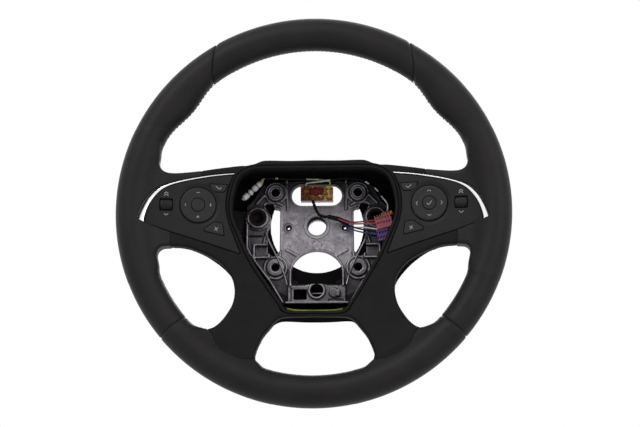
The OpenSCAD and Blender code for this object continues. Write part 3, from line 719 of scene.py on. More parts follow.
class Graph:
    """A material's nodes, with a call for each kind that the finishes use."""

    def __init__(self, name: str) -> None:
        """Start a material with a Principled shader and Object coordinates in millimetres."""
        self.material = bpy.data.materials.new(name)
        self.material.use_nodes = True
        self.tree = self.material.node_tree
        self.shader = self.tree.nodes["Principled BSDF"]
        coordinates = self.tree.nodes.new("ShaderNodeTexCoord")
        scale = self.tree.nodes.new("ShaderNodeVectorMath")
        scale.operation = "SCALE"
        scale.inputs["Scale"].default_value = 1000.0
        self.link(coordinates.outputs["Object"], scale.inputs[0])
        self.place = scale.outputs[0]

    def link(self, out: bpy.types.NodeSocket, into: bpy.types.NodeSocket) -> None:
        """Join two sockets."""
        self.tree.links.new(out, into)

    def noise(self, size: float, detail: float = 3.0, roughness: float = 0.5,
              stretch: tuple[float, float, float] = (1, 1, 1)) -> bpy.types.NodeSocket:
        """Noise whose lumps are about size millimetres across."""
        node = self.tree.nodes.new("ShaderNodeTexNoise")
        node.inputs["Scale"].default_value = 1.0 / size
        node.inputs["Detail"].default_value = detail
        node.inputs["Roughness"].default_value = roughness
        self.link(self.stretched(stretch), node.inputs["Vector"])
        return node.outputs["Fac"]

    def stretched(self, stretch: tuple[float, float, float]) -> bpy.types.NodeSocket:
        """The place, its axes scaled."""
        if stretch == (1, 1, 1):
            return self.place
        node = self.tree.nodes.new("ShaderNodeMapping")
        node.inputs["Scale"].default_value = stretch
        self.link(self.place, node.inputs["Vector"])
        return node.outputs["Vector"]

    def cells(self, size: float, feature: str = "DISTANCE_TO_EDGE") -> bpy.types.NodeSocket:
        """Cells about size millimetres across, by the distance to their edge or middle."""
        node = self.tree.nodes.new("ShaderNodeTexVoronoi")
        node.feature = feature
        node.inputs["Scale"].default_value = 1.0 / size
        self.link(self.place, node.inputs["Vector"])
        return node.outputs["Distance"]

    def ramp(self, value: bpy.types.NodeSocket,
             *stops: tuple[float, tuple[float, ...]]) -> bpy.types.NodeSocket:
        """Colours by value, each stop a position and a colour."""
        node = self.tree.nodes.new("ShaderNodeValToRGB")
        elements = node.color_ramp.elements
        while len(elements) < len(stops):
            elements.new(0.5)
        for element, (at, colour) in zip(elements, stops):
            element.position = at
            element.color = (*colour, 1.0) if len(colour) == 3 else colour
        self.link(value, node.inputs["Fac"])
        return node.outputs["Color"]

    def attribute(self, name: str) -> bpy.types.NodeSocket:
        """A value that the mesh carries at its points."""
        node = self.tree.nodes.new("ShaderNodeAttribute")
        node.attribute_name = name
        return node.outputs["Fac"]

    def mix(self, kind: str, share: bpy.types.NodeSocket | float, a: bpy.types.NodeSocket,
            b: bpy.types.NodeSocket) -> bpy.types.NodeSocket:
        """Two colours mixed in one of Blender's ways."""
        node = self.tree.nodes.new("ShaderNodeMix")
        node.data_type, node.blend_type = "RGBA", kind
        if isinstance(share, float):
            node.inputs[0].default_value = share
        else:
            self.link(share, node.inputs[0])
        self.link(a, node.inputs[6])
        self.link(b, node.inputs[7])
        return node.outputs[2]

    def rise(self, low: float, high: float, top: float) -> bpy.types.NodeSocket:
        """A value that rises from nothing to top between two heights toward the driver."""
        axes = self.tree.nodes.new("ShaderNodeSeparateXYZ")
        self.link(self.place, axes.inputs[0])
        node = self.tree.nodes.new("ShaderNodeMapRange")
        for name, value in (("From Min", -low), ("From Max", -high), ("To Min", 0.0), ("To Max", top)):
            node.inputs[name].default_value = value
        self.link(axes.outputs["Y"], node.inputs["Value"])
        return node.outputs["Result"]

    def off_axis(self) -> bpy.types.NodeSocket:
        """Distance from the wheel's axis in millimetres."""
        node = self.tree.nodes.new("ShaderNodeVectorMath")
        node.operation = "LENGTH"
        self.link(self.stretched((1, 0, 1)), node.inputs[0])
        return node.outputs["Value"]

    def math(self, operation: str, a: bpy.types.NodeSocket | float, b: bpy.types.NodeSocket | float
             ) -> bpy.types.NodeSocket:
        """One sum of two values."""
        node = self.tree.nodes.new("ShaderNodeMath")
        node.operation = operation
        for socket, value in zip(node.inputs, (a, b)):
            if isinstance(value, (int, float)):
                socket.default_value = value
            else:
                self.link(value, socket)
        return node.outputs[0]

    def spread(self, value: bpy.types.NodeSocket, low: float, high: float) -> bpy.types.NodeSocket:
        """A value of 0 to 1 spread between low and high."""
        node = self.tree.nodes.new("ShaderNodeMapRange")
        node.inputs["To Min"].default_value = low
        node.inputs["To Max"].default_value = high
        self.link(value, node.inputs["Value"])
        return node.outputs["Result"]

    def bump(self, height: bpy.types.NodeSocket, depth: float, strength: float = 1.0,
             below: bpy.types.NodeSocket | None = None) -> bpy.types.NodeSocket:
        """A bump whose full height is depth millimetres, over another if one is given."""
        node = self.tree.nodes.new("ShaderNodeBump")
        node.inputs["Strength"].default_value = strength
        node.inputs["Distance"].default_value = depth * 0.001
        self.link(height, node.inputs["Height"])
        if below is not None:
            self.link(below, node.inputs["Normal"])
        return node.outputs["Normal"]

    def set(self, **values: float | tuple[float, ...]) -> None:
        """Set the shader's own sockets; an underscore stands for a space."""
        for name, value in values.items():
            self.shader.inputs[name.replace("_", " ")].default_value = value


@dataclass(frozen=True)
class Finish:
    """A finish with a mottled colour, uneven gloss and a fine bump.

    dull_below holds two heights toward the driver: the gloss is nothing up to the first and full
    from the second on.
    """

    name: str
    colour: tuple[float, float, float]
    roughness: float = 0.45
    mottle: float = 0.12
    mottle_size: float = 9.0
    grain: float = 0.03
    grain_size: float = 0.6
    metallic: float = 0.0
    specular: float = 0.4
    dull_below: tuple[float, float] | None = None

    def shades(self) -> tuple[tuple[float, float, float], tuple[float, float, float]]:
        """The darker and the lighter end of the colour."""
        dark = tuple(c * (1 - self.mottle) for c in self.colour)
        return dark, tuple(min(1.0, c * (1 + self.mottle)) for c in self.colour)

    def start(self) -> Graph:
        """The nodes that every finish has: colour and roughness from slow noise."""
        graph = Graph(self.name)
        dark, light = self.shades()
        slow = graph.noise(self.mottle_size, 4.0)
        graph.link(graph.ramp(slow, (0.3, dark), (0.7, light)), graph.shader.inputs["Base Color"])
        graph.link(graph.spread(slow, self.roughness - 0.06, self.roughness + 0.06),
                   graph.shader.inputs["Roughness"])
        graph.set(Metallic=self.metallic, Specular_IOR_Level=self.specular)
        if self.dull_below:
            graph.link(graph.rise(*self.dull_below, self.specular), graph.shader.inputs["Specular IOR Level"])
        return graph

    def build(self) -> bpy.types.Material:
        """Make the material."""
        graph = self.start()
        graph.link(graph.bump(graph.noise(self.grain_size, 2.0), self.grain), graph.shader.inputs["Normal"])
        return graph.material


@dataclass(frozen=True)
class Leather(Finish):
    """Smooth black leather: pebbles between fine creases, and pores."""

    def build(self) -> bpy.types.Material:
        """Make the material."""
        graph = self.start()
        pebbles = graph.ramp(graph.cells(self.grain_size), (0.0, (0, 0, 0)), (0.22, (1, 1, 1)))
        creases = graph.bump(pebbles, self.grain, 0.7)
        pores = graph.bump(graph.noise(0.35, 2.0), self.grain * 0.5, 0.5, creases)
        graph.link(graph.bump(graph.noise(14.0, 3.0), 0.35, 0.5, pores), graph.shader.inputs["Normal"])
        graph.set(Sheen_Weight=0.12, Sheen_Roughness=0.4)
        return graph.material


@dataclass(frozen=True)
class Casting(Finish):
    """Cast magnesium: a dark skin that stands for painted shade, and metal with flow marks and specks as
    painted light, mixed by a mesh attribute.
    """

    tint: tuple[float, float, float] = (0.26, 0.235, 0.26)
    shaded_skin: tuple[float, float, float] = (0.016, 0.0145, 0.016)

    def build(self) -> bpy.types.Material:
        """Make the material."""
        graph = Graph(self.name)
        dark, light = self.shades()
        slow, fine = graph.noise(self.mottle_size, 6.0, 0.62), graph.noise(2.2, 5.0, 0.7)
        colour = graph.ramp(slow, (0.28, dark), (0.45, self.tint), (0.6, self.colour), (0.78, light))
        specks = graph.ramp(fine, (0.32, (0.34, 0.32, 0.35)), (0.5, (0.85, 0.84, 0.86)), (0.64, (1, 1, 1)))
        metal = graph.mix("MULTIPLY", 0.8, colour, specks)
        shaded_skin = graph.ramp(slow, (0.35, tuple(c * 0.7 for c in self.shaded_skin)),
                          (0.7, tuple(c * 1.6 for c in self.shaded_skin)))
        # The mesh attribute is painted light and shade: 0 gives the dark skin as painted shade, 1 the lit
        # metal.
        painted_light = graph.attribute("painted_light")
        graph.link(graph.mix("MIX", painted_light, shaded_skin, metal), graph.shader.inputs["Base Color"])
        graph.link(graph.spread(fine, self.roughness - 0.1, self.roughness + 0.12),
                   graph.shader.inputs["Roughness"])
        rough = graph.bump(graph.noise(self.grain_size, 4.0), self.grain)
        graph.link(graph.bump(slow, 0.5, 0.6, rough), graph.shader.inputs["Normal"])
        # Places painted as lit are also made metallic and glossy; places in painted shade lose both.
        lit_shine = graph.math("MINIMUM", graph.math("MULTIPLY", painted_light, 2.5), 1.0)
        graph.link(graph.math("MULTIPLY", lit_shine, self.metallic), graph.shader.inputs["Metallic"])
        graph.link(graph.math("MULTIPLY", lit_shine, self.specular), graph.shader.inputs["Specular IOR Level"])
        return graph.material


@dataclass(frozen=True)
class Brushed(Finish):
    """Satin metal with fine lines along one axis."""

    stretch: tuple[float, float, float] = (0.05, 1.0, 1.0)

    def build(self) -> bpy.types.Material:
        """Make the material."""
        graph = self.start()
        lines = graph.noise(self.grain_size, 3.0, 0.6, self.stretch)
        graph.link(graph.bump(lines, self.grain, 0.6), graph.shader.inputs["Normal"])
        return graph.material


@dataclass(frozen=True)
class Bore(Finish):
    """Dull steel that is dark inside a radius, where splines lie in shade and grease."""

    dark_to: float = 9.9

    def build(self) -> bpy.types.Material:
        """Make the material."""
        graph = self.start()
        dark, light = self.shades()
        share = graph.math("DIVIDE", graph.off_axis(), 2 * self.dark_to)
        rings = graph.ramp(share, (0.46, tuple(c * 0.08 for c in dark)), (0.5, dark), (0.62, light))
        worn = graph.ramp(graph.noise(1.6, 4.0, 0.65), (0.3, (0.4, 0.39, 0.41)), (0.62, (1, 1, 1)))
        graph.link(graph.mix("MULTIPLY", 0.8, rings, worn), graph.shader.inputs["Base Color"])
        outside = graph.math("GREATER_THAN", share, 0.49)
        graph.link(graph.math("MULTIPLY", outside, self.metallic), graph.shader.inputs["Metallic"])
        graph.link(graph.math("MULTIPLY", outside, self.specular), graph.shader.inputs["Specular IOR Level"])
        graph.link(graph.bump(graph.noise(self.grain_size, 3.0), self.grain), graph.shader.inputs["Normal"])
        return graph.material


@dataclass(frozen=True)
class Resin(Finish):
    """Translucent-looking moulded resin: deep colour in the hollows of its noise, and a pale painted
    highlight at its peaks for light shining through it.
    """

    deep: tuple[float, float, float] = (0.07, 0.018, 0.006)
    painted_glow: tuple[float, float, float] = (0.80, 0.56, 0.24)

    def build(self) -> bpy.types.Material:
        """Make the material."""
        graph = self.start()
        across = graph.tree.nodes.new("ShaderNodeSeparateXYZ")
        graph.link(graph.place, across.inputs[0])
        # The colour also runs paler toward +x, up to the painted highlight.
        slow = graph.math("ADD", graph.noise(self.mottle_size, 3.0, 0.55),
                          graph.math("MULTIPLY", across.outputs["X"], 0.009))
        stops = ((0.34, self.deep), (0.46, self.colour), (0.56, self.colour), (0.66, self.painted_glow))
        graph.link(graph.ramp(slow, *stops), graph.shader.inputs["Base Color"])
        graph.link(graph.bump(graph.noise(self.grain_size, 2.0), self.grain), graph.shader.inputs["Normal"])
        return graph.material


@dataclass(frozen=True)
class Braid(Finish):
    """A braided sleeve: two waves that cross."""

    def build(self) -> bpy.types.Material:
        """Make the material."""
        graph = self.start()
        heights = []
        for stretch in ((1, 1, 0.6), (1, -1, 0.6)):
            wave = graph.tree.nodes.new("ShaderNodeTexWave")
            wave.inputs["Scale"].default_value = 0.31 / self.grain_size
            wave.bands_direction = "DIAGONAL"
            graph.link(graph.stretched(stretch), wave.inputs["Vector"])
            heights.append(wave.outputs["Fac"])
        graph.link(graph.bump(graph.math("MAXIMUM", *heights), self.grain), graph.shader.inputs["Normal"])
        return graph.material


FINISHES = {
    "leather": Leather("leather", (0.0108, 0.0094, 0.0100), 0.48, 0.2, 22, 0.06, 1.5, specular=0.135,
                       dull_below=(64, 76)),
    "satin_black": Finish("satin_black", (0.0095, 0.0092, 0.0095), 0.56, 0.14, 14, 0.03, 0.5, specular=0.06,
                          dull_below=(72, 77)),
    "dark_shell": Finish("dark_shell", (0.0070, 0.0067, 0.0070), 0.66, 0.14, 12, 0.07, 0.8, specular=0.0),
    "panel_black": Finish("panel_black", (0.0110, 0.0106, 0.0110), 0.5, 0.1, 12, 0.025, 0.45, specular=0.14),
    "key_black": Finish("key_black", (0.0150, 0.0144, 0.0150), 0.46, 0.1, 6, 0.025, 0.4, specular=0.18),
    "roller_black": Finish("roller_black", (0.006, 0.006, 0.006), 0.4, 0.1, 5, 0.02, 0.4, specular=0.2),
    "satin_chrome": Brushed("satin_chrome", (0.86, 0.86, 0.88), 0.2, 0.04, 12, 0.02, 0.25, metallic=1.0,
                            specular=0.5),
    "magnesium": Casting("magnesium", (0.37, 0.355, 0.375), 0.42, 0.35, 11, 0.07, 0.5, metallic=0.75,
                         specular=0.4),
    "steel": Brushed("steel", (0.30, 0.30, 0.31), 0.36, 0.14, 6, 0.03, 0.3, metallic=1.0,
                     stretch=(1.0, 0.05, 1.0)),
    "bore_steel": Bore("bore_steel", (0.34, 0.325, 0.345), 0.45, 0.2, 5, 0.05, 0.5, metallic=0.8),
    "spring_steel": Brushed("spring_steel", (0.22, 0.215, 0.22), 0.36, 0.2, 4, 0.02, 0.3, metallic=1.0),
    "foam": Finish("foam", (0.020, 0.019, 0.018), 0.85, 0.1, 4, 0.15, 0.8, specular=0.2),
    "board_green": Finish("board_green", (0.05, 0.2, 0.09), 0.35, 0.15, 5, 0.02, 0.6),
    "amber": Resin("amber", (0.30, 0.115, 0.030), 0.3, 0.25, 4.5, 0.05, 0.7),
    "red": Finish("red", (0.15, 0.014, 0.010), 0.36, 0.35, 4, 0.03, 0.6, specular=0.3),
    "lead_red": Finish("lead_red", (0.34, 0.05, 0.035), 0.36, 0.2, 4, 0.02, 0.6, specular=0.3),
    "pink": Finish("pink", (0.34, 0.085, 0.12), 0.38, 0.3, 3, 0.04, 0.7, specular=0.3),
    "orange": Finish("orange", (0.50, 0.17, 0.06), 0.36, 0.3, 3, 0.03, 0.7, specular=0.3),
    "purple": Finish("purple", (0.085, 0.035, 0.16), 0.38, 0.3, 3, 0.04, 0.7, specular=0.3),
    "white": Finish("white", (0.66, 0.66, 0.64), 0.38, 0.1, 5, 0.02, 0.6, specular=0.35),
    "tan": Finish("tan", (0.42, 0.33, 0.17), 0.5, 0.2, 3, 0.04, 0.6, specular=0.3),
    "black_sleeve": Braid("black_sleeve", (0.0055, 0.0052, 0.0055), 0.5, 0.2, 3, 0.18, 0.9, specular=0.14),
    "tape": Finish("tape", (0.0065, 0.0062, 0.0062), 0.55, 0.3, 3, 0.08, 1.2, specular=0.12),
    "blue": Finish("blue", (0.020, 0.045, 0.17), 0.35, 0.15, 3, 0.01, 0.6, specular=0.3),
    "yellow_green": Finish("yellow_green", (0.21, 0.215, 0.03), 0.4, 0.25, 6, 0.02, 0.6, specular=0.3),
    "pale_green": Finish("pale_green", (0.44, 0.45, 0.24), 0.4, 0.25, 5, 0.02, 0.6, specular=0.3),
    "maroon": Finish("maroon", (0.011, 0.0042, 0.0042), 0.6, 0.5, 3, 0.08, 0.8, specular=0.12),
    "pale_mark": Finish("pale_mark", (0.30, 0.30, 0.31), 0.5, 0.1, 3, 0.01, 0.4, specular=0.3),
    "thread": Finish("thread", (0.008, 0.0075, 0.0078), 0.8, 0.2, 1, 0.05, 0.25, specular=0.0),
    "sleeve_dark": Finish("sleeve_dark", (0.010, 0.009, 0.010), 0.6, 0.2, 3, 0.05, 0.6, specular=0.2),
}


@dataclass
class Paint:
    """Gives pieces their finishes, each material made once."""

    made: dict[str, bpy.types.Material] = field(default_factory=dict)

    def __call__(self, piece: bpy.types.Object, finish: str, slot: str | None = None) -> None:
        """Put a finish on a piece.

        Args:
            piece: The object.
            finish: Name of the finish.
            slot: Not used.
        """
        if finish not in self.made:
            self.made[finish] = FINISHES[finish].build()
        if not piece.material_slots:
            piece.data.materials.append(self.made[finish])
        for own in piece.material_slots:
            own.material = self.made[finish]


# Sub-assemblies


@dataclass
class Builder:
    """What the sub-assemblies share: the forms, the finishes, and how a piece is handed over."""

    form: WheelForm
    paint: Paint

    def add(self, name: str, shape: tuple[Array, list[Array]], finish: str, slot: str,
            body: str = "wheel", stands_for: Sequence[str] = (), mirror: bool = False) -> bpy.types.Object:
        """Make a piece, dress it, and let it ride.

        Args:
            name: Name of the piece.
            shape: Its points in millimetres and its faces.
            finish: Name of the finish.
            slot: The record's material slot.
            body: The body that it rides on.
            stands_for: CAD nodes that it replaces.
            mirror: Make the left-hand twin of a right-hand shape.

        Returns:
            The piece.
        """
        points, faces = shape
        if mirror:
            points = points * [-1, 1, 1]
        piece = make_piece(name, points, *faces, flip=mirror)
        self.paint(piece, finish, slot)
        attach(piece, body)
        if stands_for:
            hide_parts(*stands_for)
        log.info("%s: %d faces on %s", name, len(piece.data.polygons), body)
        return piece


@dataclass
class LeatherRim(Builder):
    """The four sewn leather covers with the lacing on the rim's inner side."""

    cell: float = 1.35
    seam_ease: float = 2.6
    edge_ease: float = 1.4
    seam_lap: float = 0.12
    stitch_r: float = 0.27
    stitch_pitch: float = 4.2
    stitch_lean: float = 1.6
    stitch_lift: float = 0.16
    inner_r: float = 158.0
    laced_at: float = 194.0
    laced_half: float = 5.5
    laced = ((60, 120), (18, 55), (125, 162), (-38, -18), (198, 218), (222, 236), (252, 288), (304, 318))

    def seam(self, x: Array, y: Array, angle: float) -> Array:
        """Distance above the plane through the axis at an angle above the horizontal, on both sides."""
        a = np.radians(angle)
        return np.cos(a) * y - np.sin(a) * np.abs(x)

    def upper_seam(self, x: Array, y: Array) -> Array:
        """Distance above the upper seams, whose angle grows with the radius."""
        r = np.hypot(x, y)
        a = np.radians(S.seam_up + S.seam_turn * (r - S.rim_r))
        return (np.cos(a) * y - np.sin(a) * np.abs(x)) / 1.28

    def covered(self, x: Array, y: Array, z: Array, zone: Outline) -> Array:
        """Distance to what a leather covers: the rim, and the spoke roots inside a zone."""
        f = self.form
        room = np.minimum(zone(np.abs(x), y), f.rim(x, y, z) - 0.4)
        return smooth_max(f.whole(x, y, z), room, self.edge_ease)

    def top(self, x: Array, y: Array, z: Array) -> Array:
        """Distance to the top cover: the rim above the upper seams."""
        return smooth_max(self.form.rim(x, y, z), -self.seam_lap - self.upper_seam(x, y), self.seam_ease)

    def right(self, x: Array, y: Array, z: Array) -> Array:
        """Distance to the right cover: between its two seams, less the switch panel's room."""
        form = self.covered(x, y, z, self.form.side)
        form = smooth_max(form, -self.form.pocket(x, y, z, S.gap), 0.8)
        form = smooth_max(form, self.upper_seam(x, y) - self.seam_lap, self.seam_ease)
        return smooth_max(form, -self.seam_lap - self.seam(x, y, -S.seam_low), self.seam_ease)

    def bottom(self, x: Array, y: Array, z: Array) -> Array:
        """Distance to the bottom cover: the rim and the lower roots below the lower seams."""
        form = self.covered(x, y, z, self.form.low)
        return smooth_max(form, self.seam(x, y, -S.seam_low) - self.seam_lap, self.seam_ease)

    def lacing(self) -> tuple[Array, list[Array]]:
        """The cross stitches that close the leather, a little behind the rim's inner side.

        Each stitch is a short arc, thick in its middle, that leaves the surface by the sine of
        its share of the way; neighbouring stitches lean to opposite sides.
        """
        parts = []
        for a0, a1 in self.laced:
            count = int(np.radians(a1 - a0) * self.inner_r / self.stitch_pitch)
            for k in range(count):
                a = np.radians(a0 + (a1 - a0) * (k + 0.5) / count)
                lean = 1 if k % 2 else -1
                s = np.linspace(-1, 1, 7)
                tilt = np.radians(self.laced_at + self.laced_half * s)
                angle = a + lean * s * self.stitch_lean / self.inner_r
                axis_angle = np.degrees(np.arctan2(np.sin(a), abs(np.cos(a))))
                t = min(abs(axis_angle - S.bulge_at) / S.bulge_half, 1.0)
                half = S.half_w + S.bulge * (1 + np.cos(np.pi * t)) / 2
                lift = self.stitch_lift * np.cos(s * np.pi / 2) - self.stitch_lift
                r = S.rim_r + np.cos(tilt) * (half + lift)
                z = S.dish + np.sin(tilt) * (S.half_d + lift)
                path = np.stack([r * np.cos(angle), r * np.sin(angle), z], axis=1)
                parts.append(tube(path, self.stitch_r, 6))
        return joined(parts)

    def build(self) -> None:
        """Make the covers and the lacing."""
        near, far = 70.0, 108.0
        self.add("leather_top_cover", lay_net(self.top, (-106, 80, near), (106, 193, far), self.cell),
                 "leather", "leather", stands_for=["leather_top"])
        side = lay_net(self.right, (80, -127, 46), (193, 164, far), self.cell)
        for which in Side:
            self.add(f"leather_{which.word}_cover", side, "leather", "leather",
                     stands_for=[f"leather_{which.word}"], mirror=which is Side.LEFT)
        self.add("leather_bottom_cover", lay_net(self.bottom, (-150, -193, 60), (150, -94, far), self.cell),
                 "leather", "leather", stands_for=["leather_bottom"])
        self.add("rim_lacing", self.lacing(), "thread", "leather")


@dataclass
class Mouldings(Builder):
    """The hub bezel with the lower spokes, the bead round its middle, and the cover behind."""

    cell: float = 1.35
    leather_lap: float = 0.5
    zone_ease: float = 1.4

    def leather_zones(self, x: Array, y: Array, z: Array) -> Array:
        """Distance to what the leathers take: the spoke roots' zones and the rim."""
        f = self.form
        zones = np.minimum(f.side(np.abs(x), y), f.low(np.abs(x), y))
        return np.minimum(zones, f.rim(x, y, z) - 0.4)

    def bezel(self, x: Array, y: Array, z: Array) -> Array:
        """Distance to the bezel: the front of hub and spokes as a wall, with a raised lip."""
        f = self.form
        r = np.hypot(x, y)
        body = f.whole(x, y, z)
        cavity, panel = f.hub_cavity(x, y), f.pocket(np.abs(x), y, z, S.gap)
        floor = f.level("part_level", r) - z
        hollow = smooth_max(np.maximum(body + S.wall, S.wall - cavity), S.wall - panel, 1.0)
        shell = np.maximum(np.maximum(body, -hollow), floor)
        lip = smooth_max(smooth_max(cavity - S.lip_w, z - S.lip_z, 1.0), 67.0 - z, 1.0)
        form = smooth_min(shell, lip, 1.0)
        form = smooth_max(form, -cavity, 0.8)
        form = smooth_max(form, -np.maximum(cavity - S.bead_w - 0.35, S.bead_seat - z), 0.5)
        form = smooth_max(form, -panel, 1.0)
        return smooth_max(form, -self.leather_lap - self.leather_zones(x, y, z), self.zone_ease)

    def bead(self) -> tuple[Array, list[Array]]:
        """The rounded bead round the hub's open middle: a section carried along the cavity's outline."""
        half = curve(self.form.cavity_edge, 8)
        loop = evened(np.vstack([half, half[::-1] * [-1, 1]]), 1.2, 2.0)
        loop[:, 0] += self.form.lean(loop[:, 1])
        w, low = S.bead_w, S.bead_seat + 0.02
        section = [(0.1, low), (w, low), (w, 79.0), (w - 0.2, 79.8), (w - 0.8, 80.4), (w / 2, 80.6),
                   (0.8, 80.3), (0.25, 79.6), (0.1, 78.6), (0.1, low)]
        rings = [np.column_stack([inset(loop, -out), np.full(len(loop), z)]) for out, z in section[:-1]]
        faces = ring_faces(len(section), len(loop)) % ((len(section) - 1) * len(loop))
        return outward(np.vstack(rings), [faces])

    def cover(self, x: Array, y: Array, z: Array) -> Array:
        """Distance to the back cover: the back of hub and spokes as a wall, with its round hole."""
        f = self.form
        r = np.hypot(x, y)
        body = f.spokes(x, y, z, narrower=1.2)
        parting = z - f.level("part_level", r) + S.gap
        shell = np.maximum(np.maximum(body, -(body + S.wall)), parting)
        shell = smooth_max(shell, S.cover_hole - r, 1.4)
        return smooth_max(shell, -self.leather_lap - self.leather_zones(x, y, z), self.zone_ease)

    def build(self) -> None:
        """Make both mouldings."""
        self.add("hub_bezel", lay_net(self.bezel, (-152, -158, 58), (152, 56, 102), self.cell),
                 "satin_black", "satin_black", stands_for=["front_bezel"])
        self.add("hub_bead", self.bead(), "satin_black", "satin_black")
        self.add("rear_cover", lay_net(self.cover, (-142, -152, -6), (142, 56, 84), self.cell * 1.1),
                 "dark_shell", "dark_shell", stands_for=["back_cover"])


@dataclass
class HubCasting(Builder):
    """The die-cast magnesium hub: plate with windows, ringed bosses and ribs, bent arms, rim rod."""

    cell: float = 0.85
    fillet: float = 1.3
    arm_w: float = 26.0
    arm_t: float = 5.0
    arm_h: float = 7.0
    rib_w: float = 2.2
    rod_r: float = 176.2
    # These set painted light and shade on the plate: tops_* lighten raised tops that face the driver,
    # groove_loss darkens grooves, edge_gain lightens edges that stand out.
    tops_from: float = 8.4
    tops_over: float = 2.0
    tops_gain: float = 0.26
    groove_loss: float = 3.0
    edge_gain: float = 7.0

    # Painted light falling off with height up the face, with distance out to the sides and toward the foot,
    # each as places and levels.
    painted_light_up = ([12, 20, 27, 35, 43], [1, 0.62, 0.34, 0.13, 0.05])
    painted_light_out = ([35, 41, 48, 56, 66], [1, 0.62, 0.4, 0.32, 0.24])
    painted_light_down = ([-79, -70, -60, -45, -34, -24], [0.08, 0.1, 0.16, 0.3, 0.72, 1])
    edge = [(0, 46), (44, 45.4), (54, 41), (64, 26), (70, 20), (70.5, -22), (66, -31), (46.8, -57),
            (34, -78.6), (0, -78.6)]
    side_edge = [(36.6, 15.4), (38, 16.8), (41.8, 17.1), (43, 19), (43.4, 22), (45, 22.8), (50.4, 22.8),
                 (52, 20.6), (49.4, 16.4), (47, 12.6), (46, 8), (46.4, 1), (49, -6), (49, -27), (43, -31),
                 (37, -25)]
    bosses = [((41, 33.5), ((11, 9.5), (8, 12.6))), ((41, -42), ((12, 10), (8.6, 12))),
              ((58.5, 8), ((12.4, 10), (10.6, 13))), ((28, -2), ((4.4, 8.8),))]
    ribs = [((30, 45), (29, 17), 9.4), ((34, 21), (47, 28), 10.5), ((49.5, 21), (52, 18), 10.5),
            ((36, -26), (37, -34), 9.4), ((26.1, -44), (26.1, -60), 13.0), ((29.5, 44.6), (29.5, 42.8), 17.0),
            ((50, -6.5), (53, -18), 10.5), ((20, -29.5), (30, -24), 8.7), ((52.4, 31), (60, 23), 10.2)]
    holes = [((41, 33.5), 4.0), ((41, -42), 4.0), ((58.5, 8), 7.4), ((28, -2), 3.0)]

    def __post_init__(self) -> None:
        """Work the outlines out."""
        edge, side = np.array(self.edge, float), np.array(self.side_edge, float)
        self.outline = Outline(np.vstack([edge, edge[::-1] * [-1, 1]]), 0.5, 3.0, True)
        self.side_window = Outline(evened(side, 0.5, 1.5), 0.3, 40.0)

    def openings(self, x: Array, y: Array) -> Array:
        """Distance to the windows: the oblong one, both side ones, the arched one, the square hole."""
        oblong = along((-14.75, 31), (14.75, 31), x, y) - 10.25
        arched = smooth_max(disc(x, y, 0, -52.4, 27), slab(x, y, (-25, -59), (25, -19)), 2.0)
        square = slab(x, y, (-22.8, -74.4), (-10.2, -64.5))
        side = self.side_window(np.abs(x), y)
        return np.minimum(np.minimum(oblong, arched), np.minimum(square, side))

    def raised_forms(self, x: Array, y: Array) -> list[tuple[Array, float]]:
        """Distance to each form's outline, with the height of its top."""
        ax = np.abs(x)
        flat = self.outline(x, y)
        pocket = slab(ax, y, (46.5, -33), (63.5, -18))
        band = np.maximum(np.maximum(flat, -flat - self.rib_w), y - 10)
        lip = np.maximum(np.abs(self.openings(x, y) - 0.8) - 0.8, flat + 1)
        forms = [(flat, S.plate_front), (lip, 8.7), (band, 13.0),
                 (np.maximum(pocket, -slab(ax, y, (48.7, -30.8), (61.3, -20.2))), 13.0)]
        forms += [(disc(ax, y, *at, r), top) for at, rings in self.bosses for r, top in rings]
        forms += [(along(a, b, ax, y) - self.rib_w / 2, top) for a, b, top in self.ribs]
        bracket = smooth_min(slab(x, y, (-28.6, -78), (28.6, -60.5)), disc(x, y, 0, -65.7, 10), 4.0)
        forms += [(bracket, 12.0), (disc(x, y, 0, -65.7, 8.6), 14.0), (disc(x, y, 17, -67.8, 4.6), 14.2),
                  (slab(x, y, (19.5, -71.5), (22.9, -65.1)), 15.4)]
        return forms

    def plate(self, x: Array, y: Array, z: Array) -> Array:
        """Distance to the plate: every raised form joined with fillets, then cut by the openings."""
        ax = np.abs(x)
        body = None
        for outline, top in self.raised_forms(x, y):
            part = smooth_max(outline, z - top, 0.6)
            body = part if body is None else smooth_min(body, part, self.fillet)
        body = smooth_max(body, S.plate_back - z, 0.5)
        cuts = [self.openings(x, y), disc(x, y, 0, 0, 12.6), disc(x, y, 0, -65.7, 6.3)]
        cuts += [disc(ax, y, *at, r) for at, r in self.holes]
        for cut in cuts:
            body = smooth_max(body, -cut, 0.8)
        hollows = [(slab(ax, y, (48.7, -30.8), (61.3, -20.2)), 6.0),
                   (np.abs(disc(x, y, 0, -19.5, 4.5)) - 0.4, 7.5),
                   (slab(x, y, (-26.4, -76), (-24.6, -63)), 10.6),
                   (slab(x, y, (11.5, -76), (26.4, -74)), 10.6)]
        hollows += [(np.abs(disc(ax, y, *at, r)) - 0.45, top) for at, r, top in
                    (((41, 33.5), 8.9, 8.6), ((41, -42), 9.6, 9.0), ((58.5, 8), 11.4, 9.2),
                     ((41, 33.5), 6.0, 11.8))]
        for cut, floor in hollows:
            body = smooth_max(body, -np.maximum(cut, floor - z), 0.4)
        bar = np.maximum(slab(x, y, (-8, -68.6), (8, -66.8)), np.maximum(3 - z, z - 7))
        return np.minimum(body, bar)

